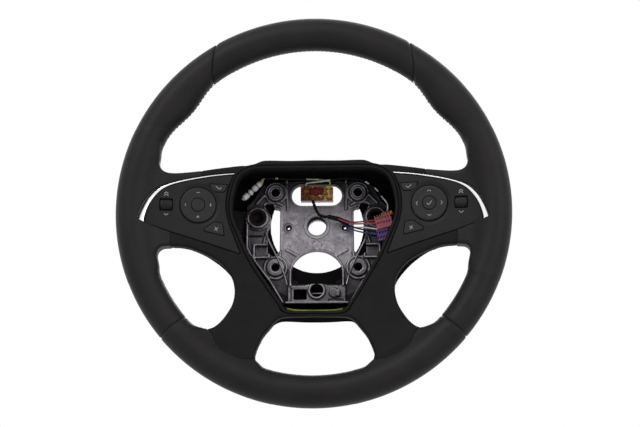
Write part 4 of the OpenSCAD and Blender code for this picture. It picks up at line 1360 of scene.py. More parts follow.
    def arm(self, angle: float, start: float, shift: float, mirrored: bool) -> tuple[Array, list[Array]]:
        """One arm: a flat channel whose section is lifted along a bent line from plate to rod.

        A point is the line's distance along the arm's direction, the section's place across it,
        and the line's height plus the section's.
        """
        line = curve([(start - 12, 2), (start, 2), (start + 13, 7), (start + 24, 28), (start + 38, 50),
                      (130, 67), (150, 72), (162, 75.5), (self.rod_r - 2, 81)], 5)
        half, lip, top, web = self.arm_w / 2, self.arm_w / 2 - self.rib_w, self.arm_h, self.arm_t
        right = [(lip - 1, web), (lip - 0.3, web + 0.4), (lip, top - 0.5), (lip + 0.5, top),
                 (half - 0.5, top), (half, top - 0.5), (half, 0.4), (half - 0.4, 0)]
        section = np.array([(-s, h) for s, h in right][::-1] + right)
        a = np.radians(angle)
        r, z = line[:, None, 0], line[:, None, 1]
        across, lift = section[None, :, 0] + shift, section[None, :, 1]
        rings = np.stack([r * np.cos(a) - across * np.sin(a), r * np.sin(a) + across * np.cos(a), z + lift],
                         axis=-1)
        if mirrored:
            rings = rings * [-1, 1, 1]
        return capped(rings, section)

    def painted_light(self, points: Array, faces: Array) -> Array:
        """How lit the plate is painted at each point, from 0, dark skin in painted shade, to 1, lit metal.

        The painted light falls off from the middle of the plate toward its top, sides and foot. An edge that
        stands out, where a point lies above the mean of its neighbours, gets a painted highlight, and a
        groove painted shade. Raised tops that face the driver are painted lighter too.
        """
        x, y, _ = points.T
        level = (np.interp(y, *self.painted_light_up) * np.interp(np.abs(x), *self.painted_light_out)
                 * np.interp(y, *self.painted_light_down))
        edges = np.vstack([faces[:, [k, (k + 1) % 4]] for k in range(4)])
        count = np.maximum(np.bincount(edges[:, 0], minlength=len(points)), 1)[:, None]
        mean = np.stack([np.bincount(edges[:, 0], points[edges[:, 1], k], len(points)) for k in range(3)],
                        axis=1)
        a, b, c = (points[faces[:, k]] for k in range(3))
        normal = np.zeros_like(points)
        for k in range(4):
            np.add.at(normal, faces[:, k], np.cross(b - a, c - a))
        normal /= np.maximum(np.linalg.norm(normal, axis=1, keepdims=True), 1e-9)
        stands_out = ((points - mean / count) * normal).sum(1) / self.cell
        raised = np.clip((points[:, 2] - self.tops_from) / self.tops_over, 0, 1)
        # Painted shade in grooves, painted light on raised tops facing the driver, painted highlights on
        # edges that stand out.
        level = level * (1 - self.groove_loss * np.clip(-stands_out - 0.01, 0, 0.3))
        level = level + self.tops_gain * raised * (normal[:, 2] > 0.7)
        return np.clip(level + self.edge_gain * np.clip(stands_out - 0.015, 0, 0.12) * (0.5 + level), 0, 1)

    def puller_sleeve(self) -> tuple[Array, list[Array]]:
        """A threaded sleeve in a puller hole: its bore is stepped like a thread."""
        z = np.linspace(2.6, 7.4, 13)
        bore = [(1.35 + 0.3 * (k % 2), h) for k, h in enumerate(z)]
        outside = [(2.95, 7.4), (2.95, 2.6)]
        points, faces = turned([*bore, *outside, bore[0]], 32)
        return joined([outward(points + [at, -2, 0], faces) for at in (-28, 28)])

    def build(self) -> None:
        """Make the plate, the arms and the rod."""
        plate = lay_net(self.plate, (-72.5, -80.5, 0.5), (72.5, 48.5, 18.5), self.cell, 1)
        arms = joined([self.arm(*a, mirrored) for a in ((0, 66, 2), (-59.5, 70, 0))
                       for mirrored in (False, True)])
        inner, outer = self.rod_r - 5, self.rod_r + 5
        rod = turned([(inner, 81.5), (inner + 0.5, 81), (inner + 2.4, 81), (inner + 2.4, 88),
                      (outer - 2.4, 88), (outer - 2.4, 81), (outer - 0.5, 81), (outer, 81.5),
                      (outer, 92.5), (outer - 0.5, 93), (inner + 0.5, 93), (inner, 92.5), (inner, 81.5)], 160)
        piece = self.add("hub_plate", plate, "magnesium", "magnesium", stands_for=["armature"])
        # The plate's painted light and shade go on it as a point attribute.
        painted_light = piece.data.attributes.new("painted_light", "FLOAT", "POINT")
        painted_light.data.foreach_set("value", self.painted_light(plate[0], plate[1][0]).astype(np.float32))
        # The sleeves' near-black finish is painted shade inside the threaded holes.
        self.add("puller_sleeves", self.puller_sleeve(), "sleeve_dark", "magnesium")
        # The arms and the rod carry no such attribute, so they take the dark skin all over: painted shade.
        self.add("casting_arms", arms, "magnesium", "magnesium")
        self.add("rim_rod", outward(*rod), "magnesium", "magnesium")


@dataclass
class FoamCore(Builder):
    """The moulded foam between the rod and the leather."""

    cell: float = 2.6

    def core(self, x: Array, y: Array, z: Array) -> Array:
        """Distance to the foam: rim and roots, a skin's thickness under the leather."""
        f = self.form
        zones = np.minimum(f.side(np.abs(x), y), f.low(np.abs(x), y))
        room = smooth_max(f.whole(x, y, z), np.minimum(zones, f.rim(x, y, z)) + 1.2, 1.0)
        return np.maximum(room + 1.3, -f.pocket(np.abs(x), y, z, 0.6))

    def build(self) -> None:
        """Make the foam."""
        self.add("foam_core", lay_net(self.core, (-192, -192, 46), (192, 192, 108), self.cell, 1),
                 "foam", "foam", stands_for=["rim_foam"])


@dataclass
class Switches(Builder):
    """Both switch panels: faceplate, chrome trim, pad, middle button, two keys and roller a side.

    They are worked out in the right panel's own plane, u to the right, v up and w above its
    face, and placed by its tilt.
    """

    pad_at: tuple[float, float] = (111.4, 7.0)
    pad_r: float = 17.2
    centre_r: float = 6.4
    pad_top: float = 0.9
    key_low: float = -4.0
    key_top: float = 0.54
    gap: float = 0.4
    roller_at: tuple[float, float] = (142.0, 7.0)
    roller_r: float = 5.4
    roller_w: float = 11.6

    inner_edge = [(76.5, 37.8), (95, 35.7), (113.5, 32.4), (128, 29.2), (140, 25.2), (148.4, 19.8),
                  (155.2, 11.9), (160, 3.2), (163, -6.4), (163, -11)]
    low_edge = [(162.2, -11.4), (140, -18.8), (112.5, -26.9), (89, -34.2), (70.2, -40.4)]
    upper_key = [(82.6, 27.3), (86.4, 20.2), (93.4, 20.2), (97.4, 21.6), (100.8, 27.8)]
    lower_key = [(88, -10.6), (86.2, -22.6), (104.6, -18.6), (105.4, -16.6), (95.6, -9.4)]

    def placed(self, shape: tuple[Array, list[Array]]) -> tuple[Array, list[Array]]:
        """Put a shape of the panel's plane into the face frame, turned by the tilt about its pivot."""
        points, faces = shape
        c, s = np.cos(np.radians(S.panel_tilt)), np.sin(np.radians(S.panel_tilt))
        u, v, w = points.T
        return np.stack([S.panel_x + (u - S.panel_x) * c - w * s, v, S.panel_z + (u - S.panel_x) * s + w * c],
                        axis=1), faces

    def face_outline(self) -> Array:
        """The faceplate's outline: under the trim, along the lower edge, and up the hub's side."""
        inner = curve(self.inner_edge)[:-6] + [0, -0.35]
        edge = np.vstack([inner[1:], curve(self.low_edge), curve(self.form.panel_inner)[:-2]])
        return evened(edge, 0.8, 1.6)

    def faceplate(self) -> tuple[Array, list[Array]]:
        """The faceplate: rounded edges, a ring that falls toward the pad, and the slots."""
        angle = 2 * np.pi * np.arange(96) / 96
        ring = np.stack([np.cos(angle), np.sin(angle)], axis=1)
        pad_hole = np.array(self.pad_at) + (self.pad_r + self.gap) * ring
        half = np.array([self.roller_w / 2 + self.gap, self.roller_r + self.gap])
        slot = evened(np.array(self.roller_at) + half * [[-1, -1], [1, -1], [1, 1], [-1, 1]], 0.5, 1.0)
        lip = [(0, -2.4), (0, -0.45), (0.12, -0.15), (0.4, 0.0)]
        dished = [(0, -2.4), (0, -1.3), (0.35, -1.0), (1.4, -0.85), (2.6, -0.5), (3.5, -0.12), (3.9, 0.0)]
        keys = [(grown(key, self.gap), lip) for key in (self.upper_key, self.lower_key)]
        return moulded(self.face_outline(), [(2.4, -2.4), (2.4, -S.panel_h), (0, -S.panel_h), (0, -0.9),
                                             (0.2, -0.35), (0.75, 0.0)],
                       [(pad_hole, dished), (slot, lip), *keys])

    def trim(self) -> tuple[Array, list[Array]]:
        """The chrome strip: a domed section, as wide as the room between its two edge lines."""
        outer, inner = curve(self.form.chrome_outer, 8), curve(self.inner_edge, 8)
        share = np.array([0, 0, 0.06, 0.2, 0.36, 0.5, 0.64, 0.8, 0.94, 1, 1])
        height = np.array([-4, -0.1, 0.28, 0.5, 0.62, 0.66, 0.62, 0.5, 0.28, -0.1, -4])
        flat = inner[:, None] + share[None, :, None] * (outer - inner)[:, None]
        rings = np.concatenate([flat, np.broadcast_to(height[None, :, None], flat.shape[:2] + (1,))], axis=-1)
        return capped(rings, np.stack([share, height], axis=1))

    def pad(self) -> tuple[Array, list[Array]]:
        """The pad: a ring with a rounded rim and a shallow hollow round its middle."""
        r, top, hole = self.pad_r, self.pad_top, self.centre_r + self.gap
        low = top - 3
        return self.at_pad(turned([(hole, low), (r, low), (r, top - 1.1), (r - 0.2, top - 0.5),
                                   (r - 0.7, top - 0.12), (r - 1.6, top), (r - 3.5, top - 0.08),
                                   (r - 6, top - 0.22), (hole + 1.4, top - 0.16), (hole + 0.5, top - 0.1),
                                   (hole + 0.12, top - 0.3), (hole, top - 0.7), (hole, low)], 96))

    def at_pad(self, shape: tuple[Array, list[Array]]) -> tuple[Array, list[Array]]:
        """Move a turned shape to the pad's place."""
        points, faces = outward(*shape)
        return points + [*self.pad_at, 0], faces

    def centre(self) -> tuple[Array, list[Array]]:
        """The middle button: a disc with a rounded rim and a low crown."""
        r, top = self.centre_r, self.pad_top + 0.1
        return self.at_pad(turned([(0, top - 3.7), (r - 0.2, top - 3.7), (r, top - 3.5), (r, top - 0.6),
                                   (r - 0.15, top - 0.25), (r - 0.6, top - 0.04), (r - 1.6, top),
                                   (r - 3.6, top - 0.05), (0, top - 0.08)], 64))

    def carrier(self) -> tuple[Array, list[Array]]:
        """The gimbal ring under a pad."""
        low, inner, outer = self.pad_top - 3 - 0.75 - 1.6, self.centre_r + 2, self.centre_r + 5.6
        top = low + 1.6
        return self.at_pad(turned([(inner, low + 0.2), (inner + 0.2, low), (outer - 0.2, low),
                                   (outer, low + 0.2), (outer, top - 0.2), (outer - 0.2, top),
                                   (inner + 0.2, top), (inner, top - 0.2), (inner, low + 0.2)], 64))

    def key(self, outline: Sequence[Sequence[float]]) -> tuple[Array, list[Array]]:
        """A key: its rounded outline with a soft upper edge."""
        top = self.key_top
        return moulded(grown(outline, 0.0),
                       [(0.0, self.key_low), (0.0, top - 0.7), (0.12, top - 0.3), (0.4, top - 0.07),
                        (0.9, top), (1.4, top + 0.04)])

    def roller(self) -> tuple[Array, list[Array]]:
        """A thumb roller: eighteen rounded grooves round it, and ends that fall away.

        The radius is the roller's less a share of a raised cosine of eighteen times the angle.
        """
        angle = 2 * np.pi * np.arange(144) / 144
        grooves = np.clip(1.6 * np.cos(18 * angle) - 0.2, 0, 1)
        share = np.array([0.0, 0.86, 0.95, 1, 1, 1, 1, 0.95, 0.86, 0.0])
        place = np.array([-1, -1, -0.96, -0.88, -0.6, 0.6, 0.88, 0.96, 1, 1]) * self.roller_w / 2
        deep = np.array([0, 0, 0, 0.2, 1, 1, 0.2, 0, 0, 0])
        r = self.roller_r * share[:, None] - 0.42 * deep[:, None] * grooves
        centre_w = 2.2 - self.roller_r
        points = np.stack([self.roller_at[0] + place[:, None] + 0 * r, self.roller_at[1] + r * np.cos(angle),
                           centre_w + r * np.sin(angle)], axis=-1).reshape(-1, 3)
        return outward(points, [ring_faces(len(share), 144)])

    def strokes(self, lines: Sequence[Sequence[tuple[float, float]]], height: float, width: float = 0.62
                ) -> tuple[Array, list[Array]]:
        """Printed marks: thin rounded strokes that stand a hair above a surface."""
        parts = []
        for line in lines:
            path = np.column_stack([curve(line, 3), np.full((len(line) - 1) * 3 + 1, height)])
            points, faces = tube(path, width / 2, 8)
            points[:, 2] = height + (points[:, 2] - height) * 0.25
            parts.append((points, faces))
        return joined(parts)

    def pad_marks(self, side: Side) -> list[list[tuple[float, float]]]:
        """A generic mark at each quarter of the pad: arrow heads at the right, short bars at the left."""
        u, v = self.pad_at
        out = 12.2
        if side is Side.RIGHT:
            tips = [((-1.7, out - 1), (0, out + 0.6)), ((0, out + 0.6), (1.7, out - 1)),
                    ((-1.7, 1 - out), (0, -out - 0.6)), ((0, -out - 0.6), (1.7, 1 - out))]
            tips += [((y, x), (q, p)) for (x, y), (p, q) in tips[:4]]
        else:
            tips = [((-1.6, out), (1.6, out)), ((-1.2, -out), (1.2, -out)), ((-1.2, 1 - out), (1.2, 1 - out)),
                    ((out, -1.2), (out, 1.2)), ((out + 1.2, -0.8), (out + 1.2, 0.8)),
                    ((-out, -1.5), (-out, 1.5)), ((-out - 0.9, 0), (-out + 0.9, 0))]
        return [[(u + a, v + b), (u + c, v + d)] for (a, b), (c, d) in tips]

    def build(self) -> None:
        """Make both sides."""
        shapes = {"plate": self.faceplate(), "trim": self.trim(), "pad": self.pad(), "centre": self.centre(),
                  "carrier": self.carrier(), "upper": self.key(self.upper_key),
                  "lower": self.key(self.lower_key), "roller": self.roller()}
        made = {name: self.placed(shape) for name, shape in shapes.items()}
        u, v = self.pad_at
        bars = {"upper": [[(89.2, 24.6), (91, 22.8), (94.2, 25.6)]],
                "lower": [[(92, -15), (95.6, -17.6)], [(92.6, -18.4), (95, -14.4)]]}
        tick = [[(u - 2.2, v), (u - 0.6, v - 1.8), (u + 2.4, v + 1.8)]]
        ru, rv = self.roller_at
        icons = [[(ru - 2, rv + 8.4), (ru, rv + 10.2), (ru + 2, rv + 8.4)],
                 [(ru - 2, rv + 10.4), (ru, rv + 12.2), (ru + 2, rv + 10.4)],
                 [(ru - 2, rv - 8.6), (ru, rv - 10.4), (ru + 2, rv - 8.6)]]
        for side in Side:
            w, left = side.word, side is Side.LEFT
            self.add(f"faceplate_{w}", made["plate"], "panel_black", "satin_black", "wheel",
                     [f"switch_panel_{w}"], left)
            self.add(f"trim_{w}", made["trim"], "satin_chrome", "satin_chrome", "wheel",
                     [f"chrome_strip_{w}"], left)
            self.add(f"four_way_pad_{w}", made["pad"], "key_black", "key_black", f"pad_{w}", [f"pad_{w}"],
                     left)
            self.add(f"pad_middle_{w}", made["centre"], "key_black", "key_black", f"centre_button_{w}",
                     [f"centre_button_{w}"], left)
            self.add(f"gimbal_ring_{w}", made["carrier"], "key_black", "key_black", f"pad_carrier_{w}",
                     [f"pad_carrier_{w}"], left)
            self.add(f"thumb_roller_{w}", made["roller"], "roller_black", "key_black", f"roller_{w}",
                     [f"roller_{w}"], left)
            for place in ("upper", "lower"):
                body = f"button_{w}_{place}"
                self.add(f"key_{w}_{place}", made[place], "key_black", "key_black", body, [body], left)
                mark = self.placed(self.strokes(bars[place], self.key_top + 0.05))
                self.add(f"key_mark_{w}_{place}", mark, "pale_mark", "white", body, mirror=left)
            marks = self.placed(self.strokes(self.pad_marks(side), self.pad_top - 0.2))
            self.add(f"pad_marks_{w}", marks, "pale_mark", "white", f"pad_{w}", mirror=left)
            if not left:
                mark = self.placed(self.strokes(tick, self.pad_top + 0.05))
                self.add("middle_tick", mark, "pale_mark", "white", f"centre_button_{w}")
            marks = self.placed(self.strokes(icons, 0.03))
            self.add(f"roller_icons_{w}", marks, "pale_mark", "white", mirror=left)


@dataclass
class Wiring(Builder):
    """Connectors, plugs, sleeve, joint, leads and springs in the hub."""

    plug_turn: float = 14.0
    joint = ((11.7, 7.2, 20.0), (22.0, 4.6, 20.0))
    white_ends = ((-72.2, 21.6, 36.0), (-54.4, 38.0, 36.0))
    white_steps = [(0, 1.3), (0.01, 1.5), (0.07, 1.5), (0.08, 2.7), (0.1, 2.9), (0.3, 2.9), (0.31, 2.3),
                   (0.38, 2.3), (0.39, 3.1), (0.5, 3.1), (0.51, 2.2), (0.6, 2.2), (0.61, 3.1), (0.78, 3.1),
                   (0.79, 2.5), (0.84, 2.5), (0.85, 2.9), (0.98, 2.7), (1, 2.3)]
    tip_end = (-51.2, 42.8, 36.0)
    tip_steps = [(-0.02, 2.0), (0, 2.3), (0.2, 2.2), (0.6, 1.5), (0.95, 0.8), (1, 0.5)]
    joint_steps = [(-0.02, 1.5), (0, 1.9), (0.06, 2.3), (0.5, 2.15), (0.9, 2.35), (1, 2.0), (1.02, 1.4)]
    wrap_ends = ((21.0, 5.0, 20.0), (32.6, -0.6, 20.4))
    wrap_steps = [(0, 1.9), (0.05, 2.2), (0.5, 2.3), (0.93, 2.5), (1, 2.1)]
    # Spans of each lead's path points under dark tape, which stands for shade on the lead and for black wires
    # laid over it: partly painted shade.
    shade_spans = {"wire_left": [(31, 48), (50, 59)], "wire_right": [(26, 57), (62, 68), (73, 79)],
             "wire_bottom": [(1, 12), (46, 59)]}
    sleeve = [(-3.3, 23, 20.6), (-2.2, 19.5, 22.8), (-0.6, 14.8, 23.2), (2.2, 9.6, 22), (6.6, 7, 20.5),
              (11.7, 7.2, 20)]
    leads = {
        "wire_red": ("lead_red", "red", 0.8,
                     [(21.8, 6.3, 20.5), (34.3, 1.4, 21), (46, 1.2, 23.4), (59, 1.6, 28)]),
        "wire_pink": ("pink", "pink", 0.8,
                      [(21.7, 4.6, 21.5), (34, -0.4, 22.6), (46, -1.2, 24.6), (59, -1.6, 29)]),
        "wire_black": ("black_sleeve", "black_sleeve", 0.8,
                       [(21.6, 2.9, 20.5), (33, -2.6, 21), (44, -6.2, 22.4), (61, -10, 27)]),
        "wire_blue": ("blue", "blue", 0.8,
                      [(21.6, 3.5, 18.8), (32, -3.6, 18.6), (42, -8, 19.6), (61, -12.6, 26)]),
        "wire_white": ("white", "white", 0.8,
                       [(21.7, 5.7, 18.8), (35, -3, 18.8), (48, -4.6, 22.6), (61, -8, 30)]),
        "wire_left": ("pale_green", "yellow_green", 0.8,
                      [(12, 37.8, 15), (13.4, 42.4, 19), (5, 43.6, 24), (-8, 43.6, 27), (-25, 43.2, 30),
                       (-40, 43.2, 34), (-51.2, 42.8, 36)]),
        "wire_right": ("white", "white", 0.8,
                       [(-9, 37.8, 15), (-9.4, 41, 19.6), (5, 41.2, 27.4), (20, 43, 30), (31, 43.2, 31),
                        (43, 41.8, 31), (51, 38.6, 31), (59.6, 32, 31), (65.2, 24.6, 31), (70.5, 17, 31),
                        (70.4, 10.4, 30)]),
        "wire_bottom": ("yellow_green", "yellow_green", 1.1,
                        [(-38, -84.5, 33), (-30, -86, 31.4), (-20, -88, 30.4), (0, -88.6, 30.6),
                         (20, -88, 30.4), (30, -86, 31.4), (38, -84.5, 33)]),
    }
    spring = [(51, -6, 11), (47.5, -16, 13.4), (40, -31, 13.6), (34.6, -43, 13.4), (31.4, -52, 12),
              (29.4, -60, 13)]

    def turned_to_plugs(self, shape: tuple[Array, list[Array]],
                        middle: Sequence[float]) -> tuple[Array, list[Array]]:
        """Turn a shape by the plugs' angle and move it to its middle."""
        points, faces = shape
        a = np.radians(self.plug_turn)
        x, y, z = points.T
        turned_points = [x * np.cos(a) - y * np.sin(a), x * np.sin(a) + y * np.cos(a), z]
        return np.stack(turned_points, axis=1) + middle, faces

    def amber_face(self, x: Array, y: Array) -> Array:
        """Height of the amber block's front: uneven cells in four rows, with the lock's slot above."""
        column = np.floor((x + 16) / 4.0)
        u = (x + 16) / 4.0 - column
        row = np.floor((y + 7.2) / 4.8)
        v = (y + 7.2) / 4.8 - row
        wall = np.minimum(np.minimum(u, 1 - u) * 4.0, np.minimum(v, 1 - v) * 4.8)
        tall = 0.5 + 0.5 * np.sin(12.9 * column + 78.2 * row + 3.1 * column * row)
        height = 6.3 - 4.2 * np.clip((wall - 0.45) / 0.5, 0, 1) * (0.35 + 0.65 * tall)
        slot = np.maximum(np.abs(x + 0.4) - 6.2, np.abs(y - 1.7) - 3.3)
        return np.where(slot < 0, 2.2, height)

    def lock_face(self, x: Array, y: Array) -> Array:
        """Height of the lock: a plain bar with a raised rib and two notches."""
        rib = 0.9 * np.clip(1.6 - np.abs(y - 1.2) * 2, 0, 1)
        notch = 1.4 * np.clip(1.5 - np.abs(np.abs(x) - 3.4), 0, 1) * (y < 0.4)
        return 2.4 + rib - notch

    def plug_face(self, rows: Sequence[float], pitch: float, deep: float) -> Callable[[Array, Array], Array]:
        """Height of a plug's front: rows of square openings that sink into it."""
        def height(x: Array, y: Array) -> Array:
            """How far the front has sunk at a place, by how deep it lies inside an opening."""
            cell = np.abs((x / pitch + 0.5) % 1.0 - 0.5) * pitch
            sink = np.zeros(np.broadcast(x, y).shape)
            for row in rows:
                hole = np.maximum(cell, np.abs(y - row)) - 0.3 * pitch
                sink = np.maximum(sink, deep * np.clip(-hole / 0.25, 0, 1))
            return -sink
        return height

    def pins(self, row: float, top: float, count: int, pitch: float,
             middle: Sequence[float]) -> tuple[Array, list[Array]]:
        """A row of small rounded pins on a plug."""
        parts = []
        for k in range(count):
            path = np.array([[(k - (count - 1) / 2) * pitch, row, top + h] for h in (-2.0, -0.6, 0.4, 0.8)])
            parts.append(tube(path, np.array([0.55, 0.55, 0.5, 0.25]), 10))
        return self.turned_to_plugs(joined(parts), middle)

    def straight(self, a: Sequence[float], b: Sequence[float], steps: Sequence[tuple[float, float]],
                 around: int = 24) -> tuple[Array, list[Array]]:
        """A round part between two points, its radius stepped along the way."""
        start, end = np.array(a, float), np.array(b, float)
        share = np.array([s for s, _ in steps])[:, None]
        return tube(start + share * (end - start), np.array([r for _, r in steps]), around)

    def twisted(self, path: Array, offset: float, radius: float, turns: float) -> tuple[Array, list[Array]]:
        """Two strands that wind round each other: each is the path moved sideways by a turning step."""
        u, v = frames_along(path)
        angle = 2 * np.pi * turns * np.linspace(0, 1, len(path))[:, None]
        return joined([tube(path + offset * (np.cos(angle + p) * u + np.sin(angle + p) * v), radius, 10)
                       for p in (0, np.pi)])

    def lead(self, name: str) -> None:
        """One lead as a round tube whose both ends are in the object, with dark tape in spans that stands for
        shade on it and for black wires over it.
        """
        finish, slot, radius, points = self.leads[name]
        path = curve(points, 10)
        piece = self.add(f"{name}_lead", tube(path, radius, 12), finish, slot, stands_for=[name])
        wraps = []
        # Dark tape over these spans is partly painted shade.
        if name in self.shade_spans:
            wraps = [tube(path[a:b + 1], radius + 0.16 + 0.07 * (np.arange(b + 1 - a) % 2), 12)
                     for a, b in self.shade_spans[name]]
            wraps = [self.add(f"{name}_tape", joined(wraps), "tape", "black_sleeve")]

    def build(self) -> None:
        """Make every part of the wiring."""
        block = (0.5, 30.9, 14.7)
        self.add("amber_block", relief((-16, -7.2), (16, 7.2), self.amber_face, -6.4, 0.35, block), "amber",
                 "amber", stands_for=["main_connector"])
        self.add("red_lock", relief((-5.9, -3.1), (5.9, 3.1), self.lock_face, -3.1, 0.3, (0.1, 32.6, 20.0)),
                 "red", "red", stands_for=["connector_lock"])
        pink = np.array([67.0, -1.4, 29.0])
        plugs = (("pink", (16.6, 12.4), 7.0, (4.2, -0.4), (0, 0, 0)),
                 ("orange", (11.5, 3.4), 5.5, (0.2,), (3, 8.2, 1)),
                 ("purple", (12.6, 11.4), 6.0, (-2.6, 2.2), (-0.5, -12.3, 0)))
        for name, (w, h), half, rows, shift in plugs:
            shape = relief((-w / 2, -h / 2), (w / 2, h / 2), self.plug_face(rows, 2.8, 1.6), -2 * half, 0.25,
                           (0, 0, 0))
            middle = pink + np.asarray(shift, float) + [0, 0, half]
            self.add(f"plug_{name}", self.turned_to_plugs(shape, middle), name, name,
                     stands_for=[f"connector_{name}"])
        self.add("pins_upper", self.pins(6.0, 7.0, 5, 2.7, pink + [-2.4, 0.6, 0]), "tan", "tan")
        self.add("pins_lower", self.pins(-4.6, 6.0, 5, 2.6, pink + [-0.5, -12.3, 0]), "tan", "tan")
        self.add("white_plug", self.straight(*self.white_ends, self.white_steps), "white", "white",
                 stands_for=["connector_white"])
        ends = np.array(self.white_ends)
        bands = [self.straight(*(ends[0] + np.array([[a], [b]]) * (ends[1] - ends[0])),
                               [(0, r - 0.2), (0.04, r), (0.96, r), (1, r - 0.2)])
                 for a, b, r in ((0.33, 0.36, 2.62), (0.54, 0.57, 2.55), (0.8, 0.83, 2.72))]
        self.add("plug_bands", joined(bands), "sleeve_dark", "white")
        self.add("tan_tip", self.straight(self.white_ends[1], self.tip_end, self.tip_steps), "tan", "tan",
                 stands_for=["connector_tip"])
        path = curve(self.sleeve, 12)
        self.add("twisted_sleeve", self.twisted(path, 0.72, 0.9, 4.0), "black_sleeve", "black_sleeve",
                 stands_for=["harness_sleeve"])
        self.add("shrink_joint", self.straight(*self.joint, self.joint_steps, 20), "black_sleeve",
                 "black_sleeve", stands_for=["splice_joint"])
        self.add("lead_wrap", self.straight(*self.wrap_ends, self.wrap_steps, 20), "tape", "black_sleeve")
        for name in self.leads:
            self.lead(name)
        spring = tube(curve(self.spring, 10), 0.9, 12)
        for side in Side:
            self.add(f"wire_spring_{side.word}", spring, "spring_steel", "steel",
                     stands_for=[f"module_spring_{side.word}"], mirror=side is Side.LEFT)


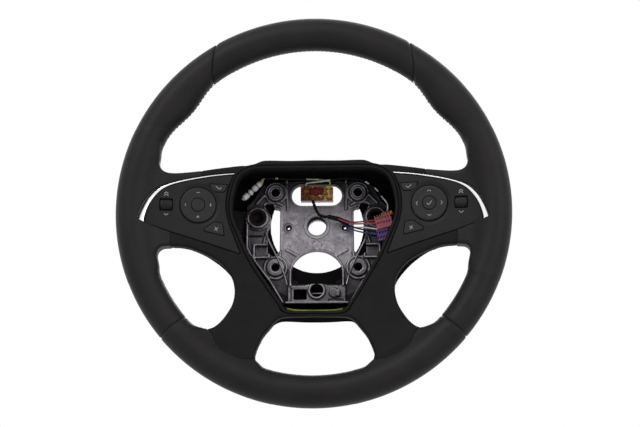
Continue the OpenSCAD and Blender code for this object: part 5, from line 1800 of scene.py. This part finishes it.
@dataclass
class Studio:
    """The camera at the photograph's place, a pale floor, soft lamps and a white surround."""

    focus: tuple[float, float, float] = (0.0, -0.088, 0.0)
    azimuth: float = 2.61
    elevation: float = -11.288
    away: float = 2.0
    lens_px: float = 2089.0
    seen_at: tuple[float, float] = (313.2, 210.35)
    floor_z: float = -0.5

    def camera(self) -> None:
        """Make the camera; the shift puts the focus where the photograph shows it."""
        data = bpy.data.cameras.new("camera")
        data.sensor_width = 36.0
        data.lens = 36.0 * self.lens_px / 640
        data.shift_x = (320 - self.seen_at[0]) / 640
        data.shift_y = (self.seen_at[1] - 213.5) / 640
        data.clip_start, data.clip_end = 0.05, 50.0
        camera = bpy.data.objects.new("camera", data)
        a, e = np.radians(self.azimuth), np.radians(self.elevation)
        back = Vector((np.sin(a) * np.cos(e), -np.cos(a) * np.cos(e), np.sin(e)))
        camera.location = Vector(self.focus) + self.away * back
        camera.rotation_mode = "QUATERNION"
        camera.rotation_quaternion = (-back).to_track_quat("-Z", "Y")
        bpy.context.scene.collection.objects.link(camera)
        bpy.context.scene.camera = camera

    def floor(self) -> None:
        """Make the floor, far below the camera's view, slightly dished at its edge."""
        n = 25
        x, y = np.meshgrid(np.linspace(-1, 1, n), np.linspace(-1, 1, n), indexing="ij")
        rise = 0.02 * np.clip(np.hypot(x, y) - 0.8, 0, 1) ** 2
        points = np.stack([3000 * x, self.floor_z * 1000 + 1000 * rise, -3000 * y], axis=-1).reshape(-1, 3)
        faces = ring_faces(n, n, closed=False)
        floor = make_piece("floor", points, faces, flip=True)
        graph = Graph("floor")
        slow = graph.noise(300.0, 2.0)
        graph.link(graph.ramp(slow, (0.3, (0.8, 0.8, 0.8)), (0.7, (0.84, 0.84, 0.84))),
                   graph.shader.inputs["Base Color"])
        graph.set(Roughness=0.9, Specular_IOR_Level=0.2)
        floor.data.materials.append(graph.material)
        floor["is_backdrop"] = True

    def lamp(self, name: str, place: tuple[float, float, float], size: float, watts: float) -> None:
        """Make one square soft lamp that looks at the hub."""
        data = bpy.data.lights.new(name, "AREA")
        data.size, data.energy = size, watts
        lamp = bpy.data.objects.new(name, data)
        lamp.location = place
        lamp.rotation_mode = "QUATERNION"
        lamp.rotation_quaternion = (Vector(self.focus) - Vector(place)).to_track_quat("-Z", "Y")
        bpy.context.scene.collection.objects.link(lamp)

    def surround(self) -> None:
        """White where the camera or a gloss looks past the object, and a plain level of light else."""
        world = bpy.data.worlds.new("surround")
        bpy.context.scene.world = world
        world.use_nodes = True
        tree = world.node_tree
        tree.nodes.clear()
        path, out = tree.nodes.new("ShaderNodeLightPath"), tree.nodes.new("ShaderNodeOutputWorld")
        seen, light = tree.nodes.new("ShaderNodeBackground"), tree.nodes.new("ShaderNodeBackground")
        seen.inputs["Strength"].default_value = 1.0
        seen.inputs["Color"].default_value = (1, 1, 1, 1)
        light.inputs["Color"].default_value = (0.93, 0.95, 1.0, 1)
        light.inputs["Strength"].default_value = 0.55
        mix = tree.nodes.new("ShaderNodeMixShader")
        share = path.outputs["Is Camera Ray"]
        for ray in ("Is Glossy Ray", "Is Transmission Ray"):
            either = tree.nodes.new("ShaderNodeMath")
            either.operation = "MAXIMUM"
            tree.links.new(share, either.inputs[0])
            tree.links.new(path.outputs[ray], either.inputs[1])
            share = either.outputs[0]
        tree.links.new(share, mix.inputs["Fac"])
        tree.links.new(light.outputs[0], mix.inputs[1])
        tree.links.new(seen.outputs[0], mix.inputs[2])
        tree.links.new(mix.outputs[0], out.inputs["Surface"])

    def build(self) -> None:
        """Make the camera and the stage."""
        self.camera()
        self.floor()
        self.surround()
        self.lamp("key", (-0.9, -1.8, 1.5), 1.2, 26)
        self.lamp("fill", (1.4, -1.6, 0.5), 1.4, 14)
        self.lamp("rear", (0.2, 1.4, 1.0), 1.2, 12)
        bpy.context.scene.view_settings.view_transform = "Standard"


CAD_FINISH = {
    "armature": "magnesium", "spline_bushing": "bore_steel", "rim_foam": "foam", "mid_bushings": "maroon",
    "cover_screws": "steel", "main_connector": "amber", "connector_lock": "red", "connector_pink": "pink",
    "connector_orange": "orange", "connector_purple": "purple", "connector_white": "white",
    "connector_tip": "tan", "harness_sleeve": "black_sleeve", "splice_joint": "black_sleeve",
    "wire_red": "red", "wire_pink": "pink", "wire_black": "black_sleeve", "wire_blue": "blue",
    "wire_white": "white", "wire_left": "yellow_green", "wire_right": "white", "wire_bottom": "yellow_green",
}
CAD_FINISH_BY_START = {
    "leather": "leather", "front_bezel": "satin_black", "back_cover": "dark_shell",
    "switch_panel": "satin_black", "chrome_strip": "satin_chrome", "pad_carrier": "steel",
    "pad": "key_black", "centre_button": "key_black", "roller": "roller_black", "button": "key_black",
    "switch_board": "board_green", "module_spring": "spring_steel",
}


def dress_nodes(nodes: dict[str, bpy.types.Object], paint: Paint) -> None:
    """Give every CAD node its finish."""
    for name, node in nodes.items():
        finish = CAD_FINISH.get(name) or next(f for s, f in CAD_FINISH_BY_START.items() if name.startswith(s))
        paint(node, finish)


def corners() -> list[list[float]]:
    """The shown object's box as plain numbers."""
    return [[round(float(c), 5) for c in corner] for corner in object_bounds()]


def main() -> None:
    """Build every sub-assembly in order."""
    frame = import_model()
    Studio().build()
    paint, form = Paint(), WheelForm()
    dress_nodes(frame["nodes"], paint)
    for assembly in (LeatherRim, FoamCore, Mouldings, HubCasting, Switches, Wiring):
        assembly(form, paint).build()
        log.info("%s done", assembly.__name__)


if __name__ == "__main__":
    main()
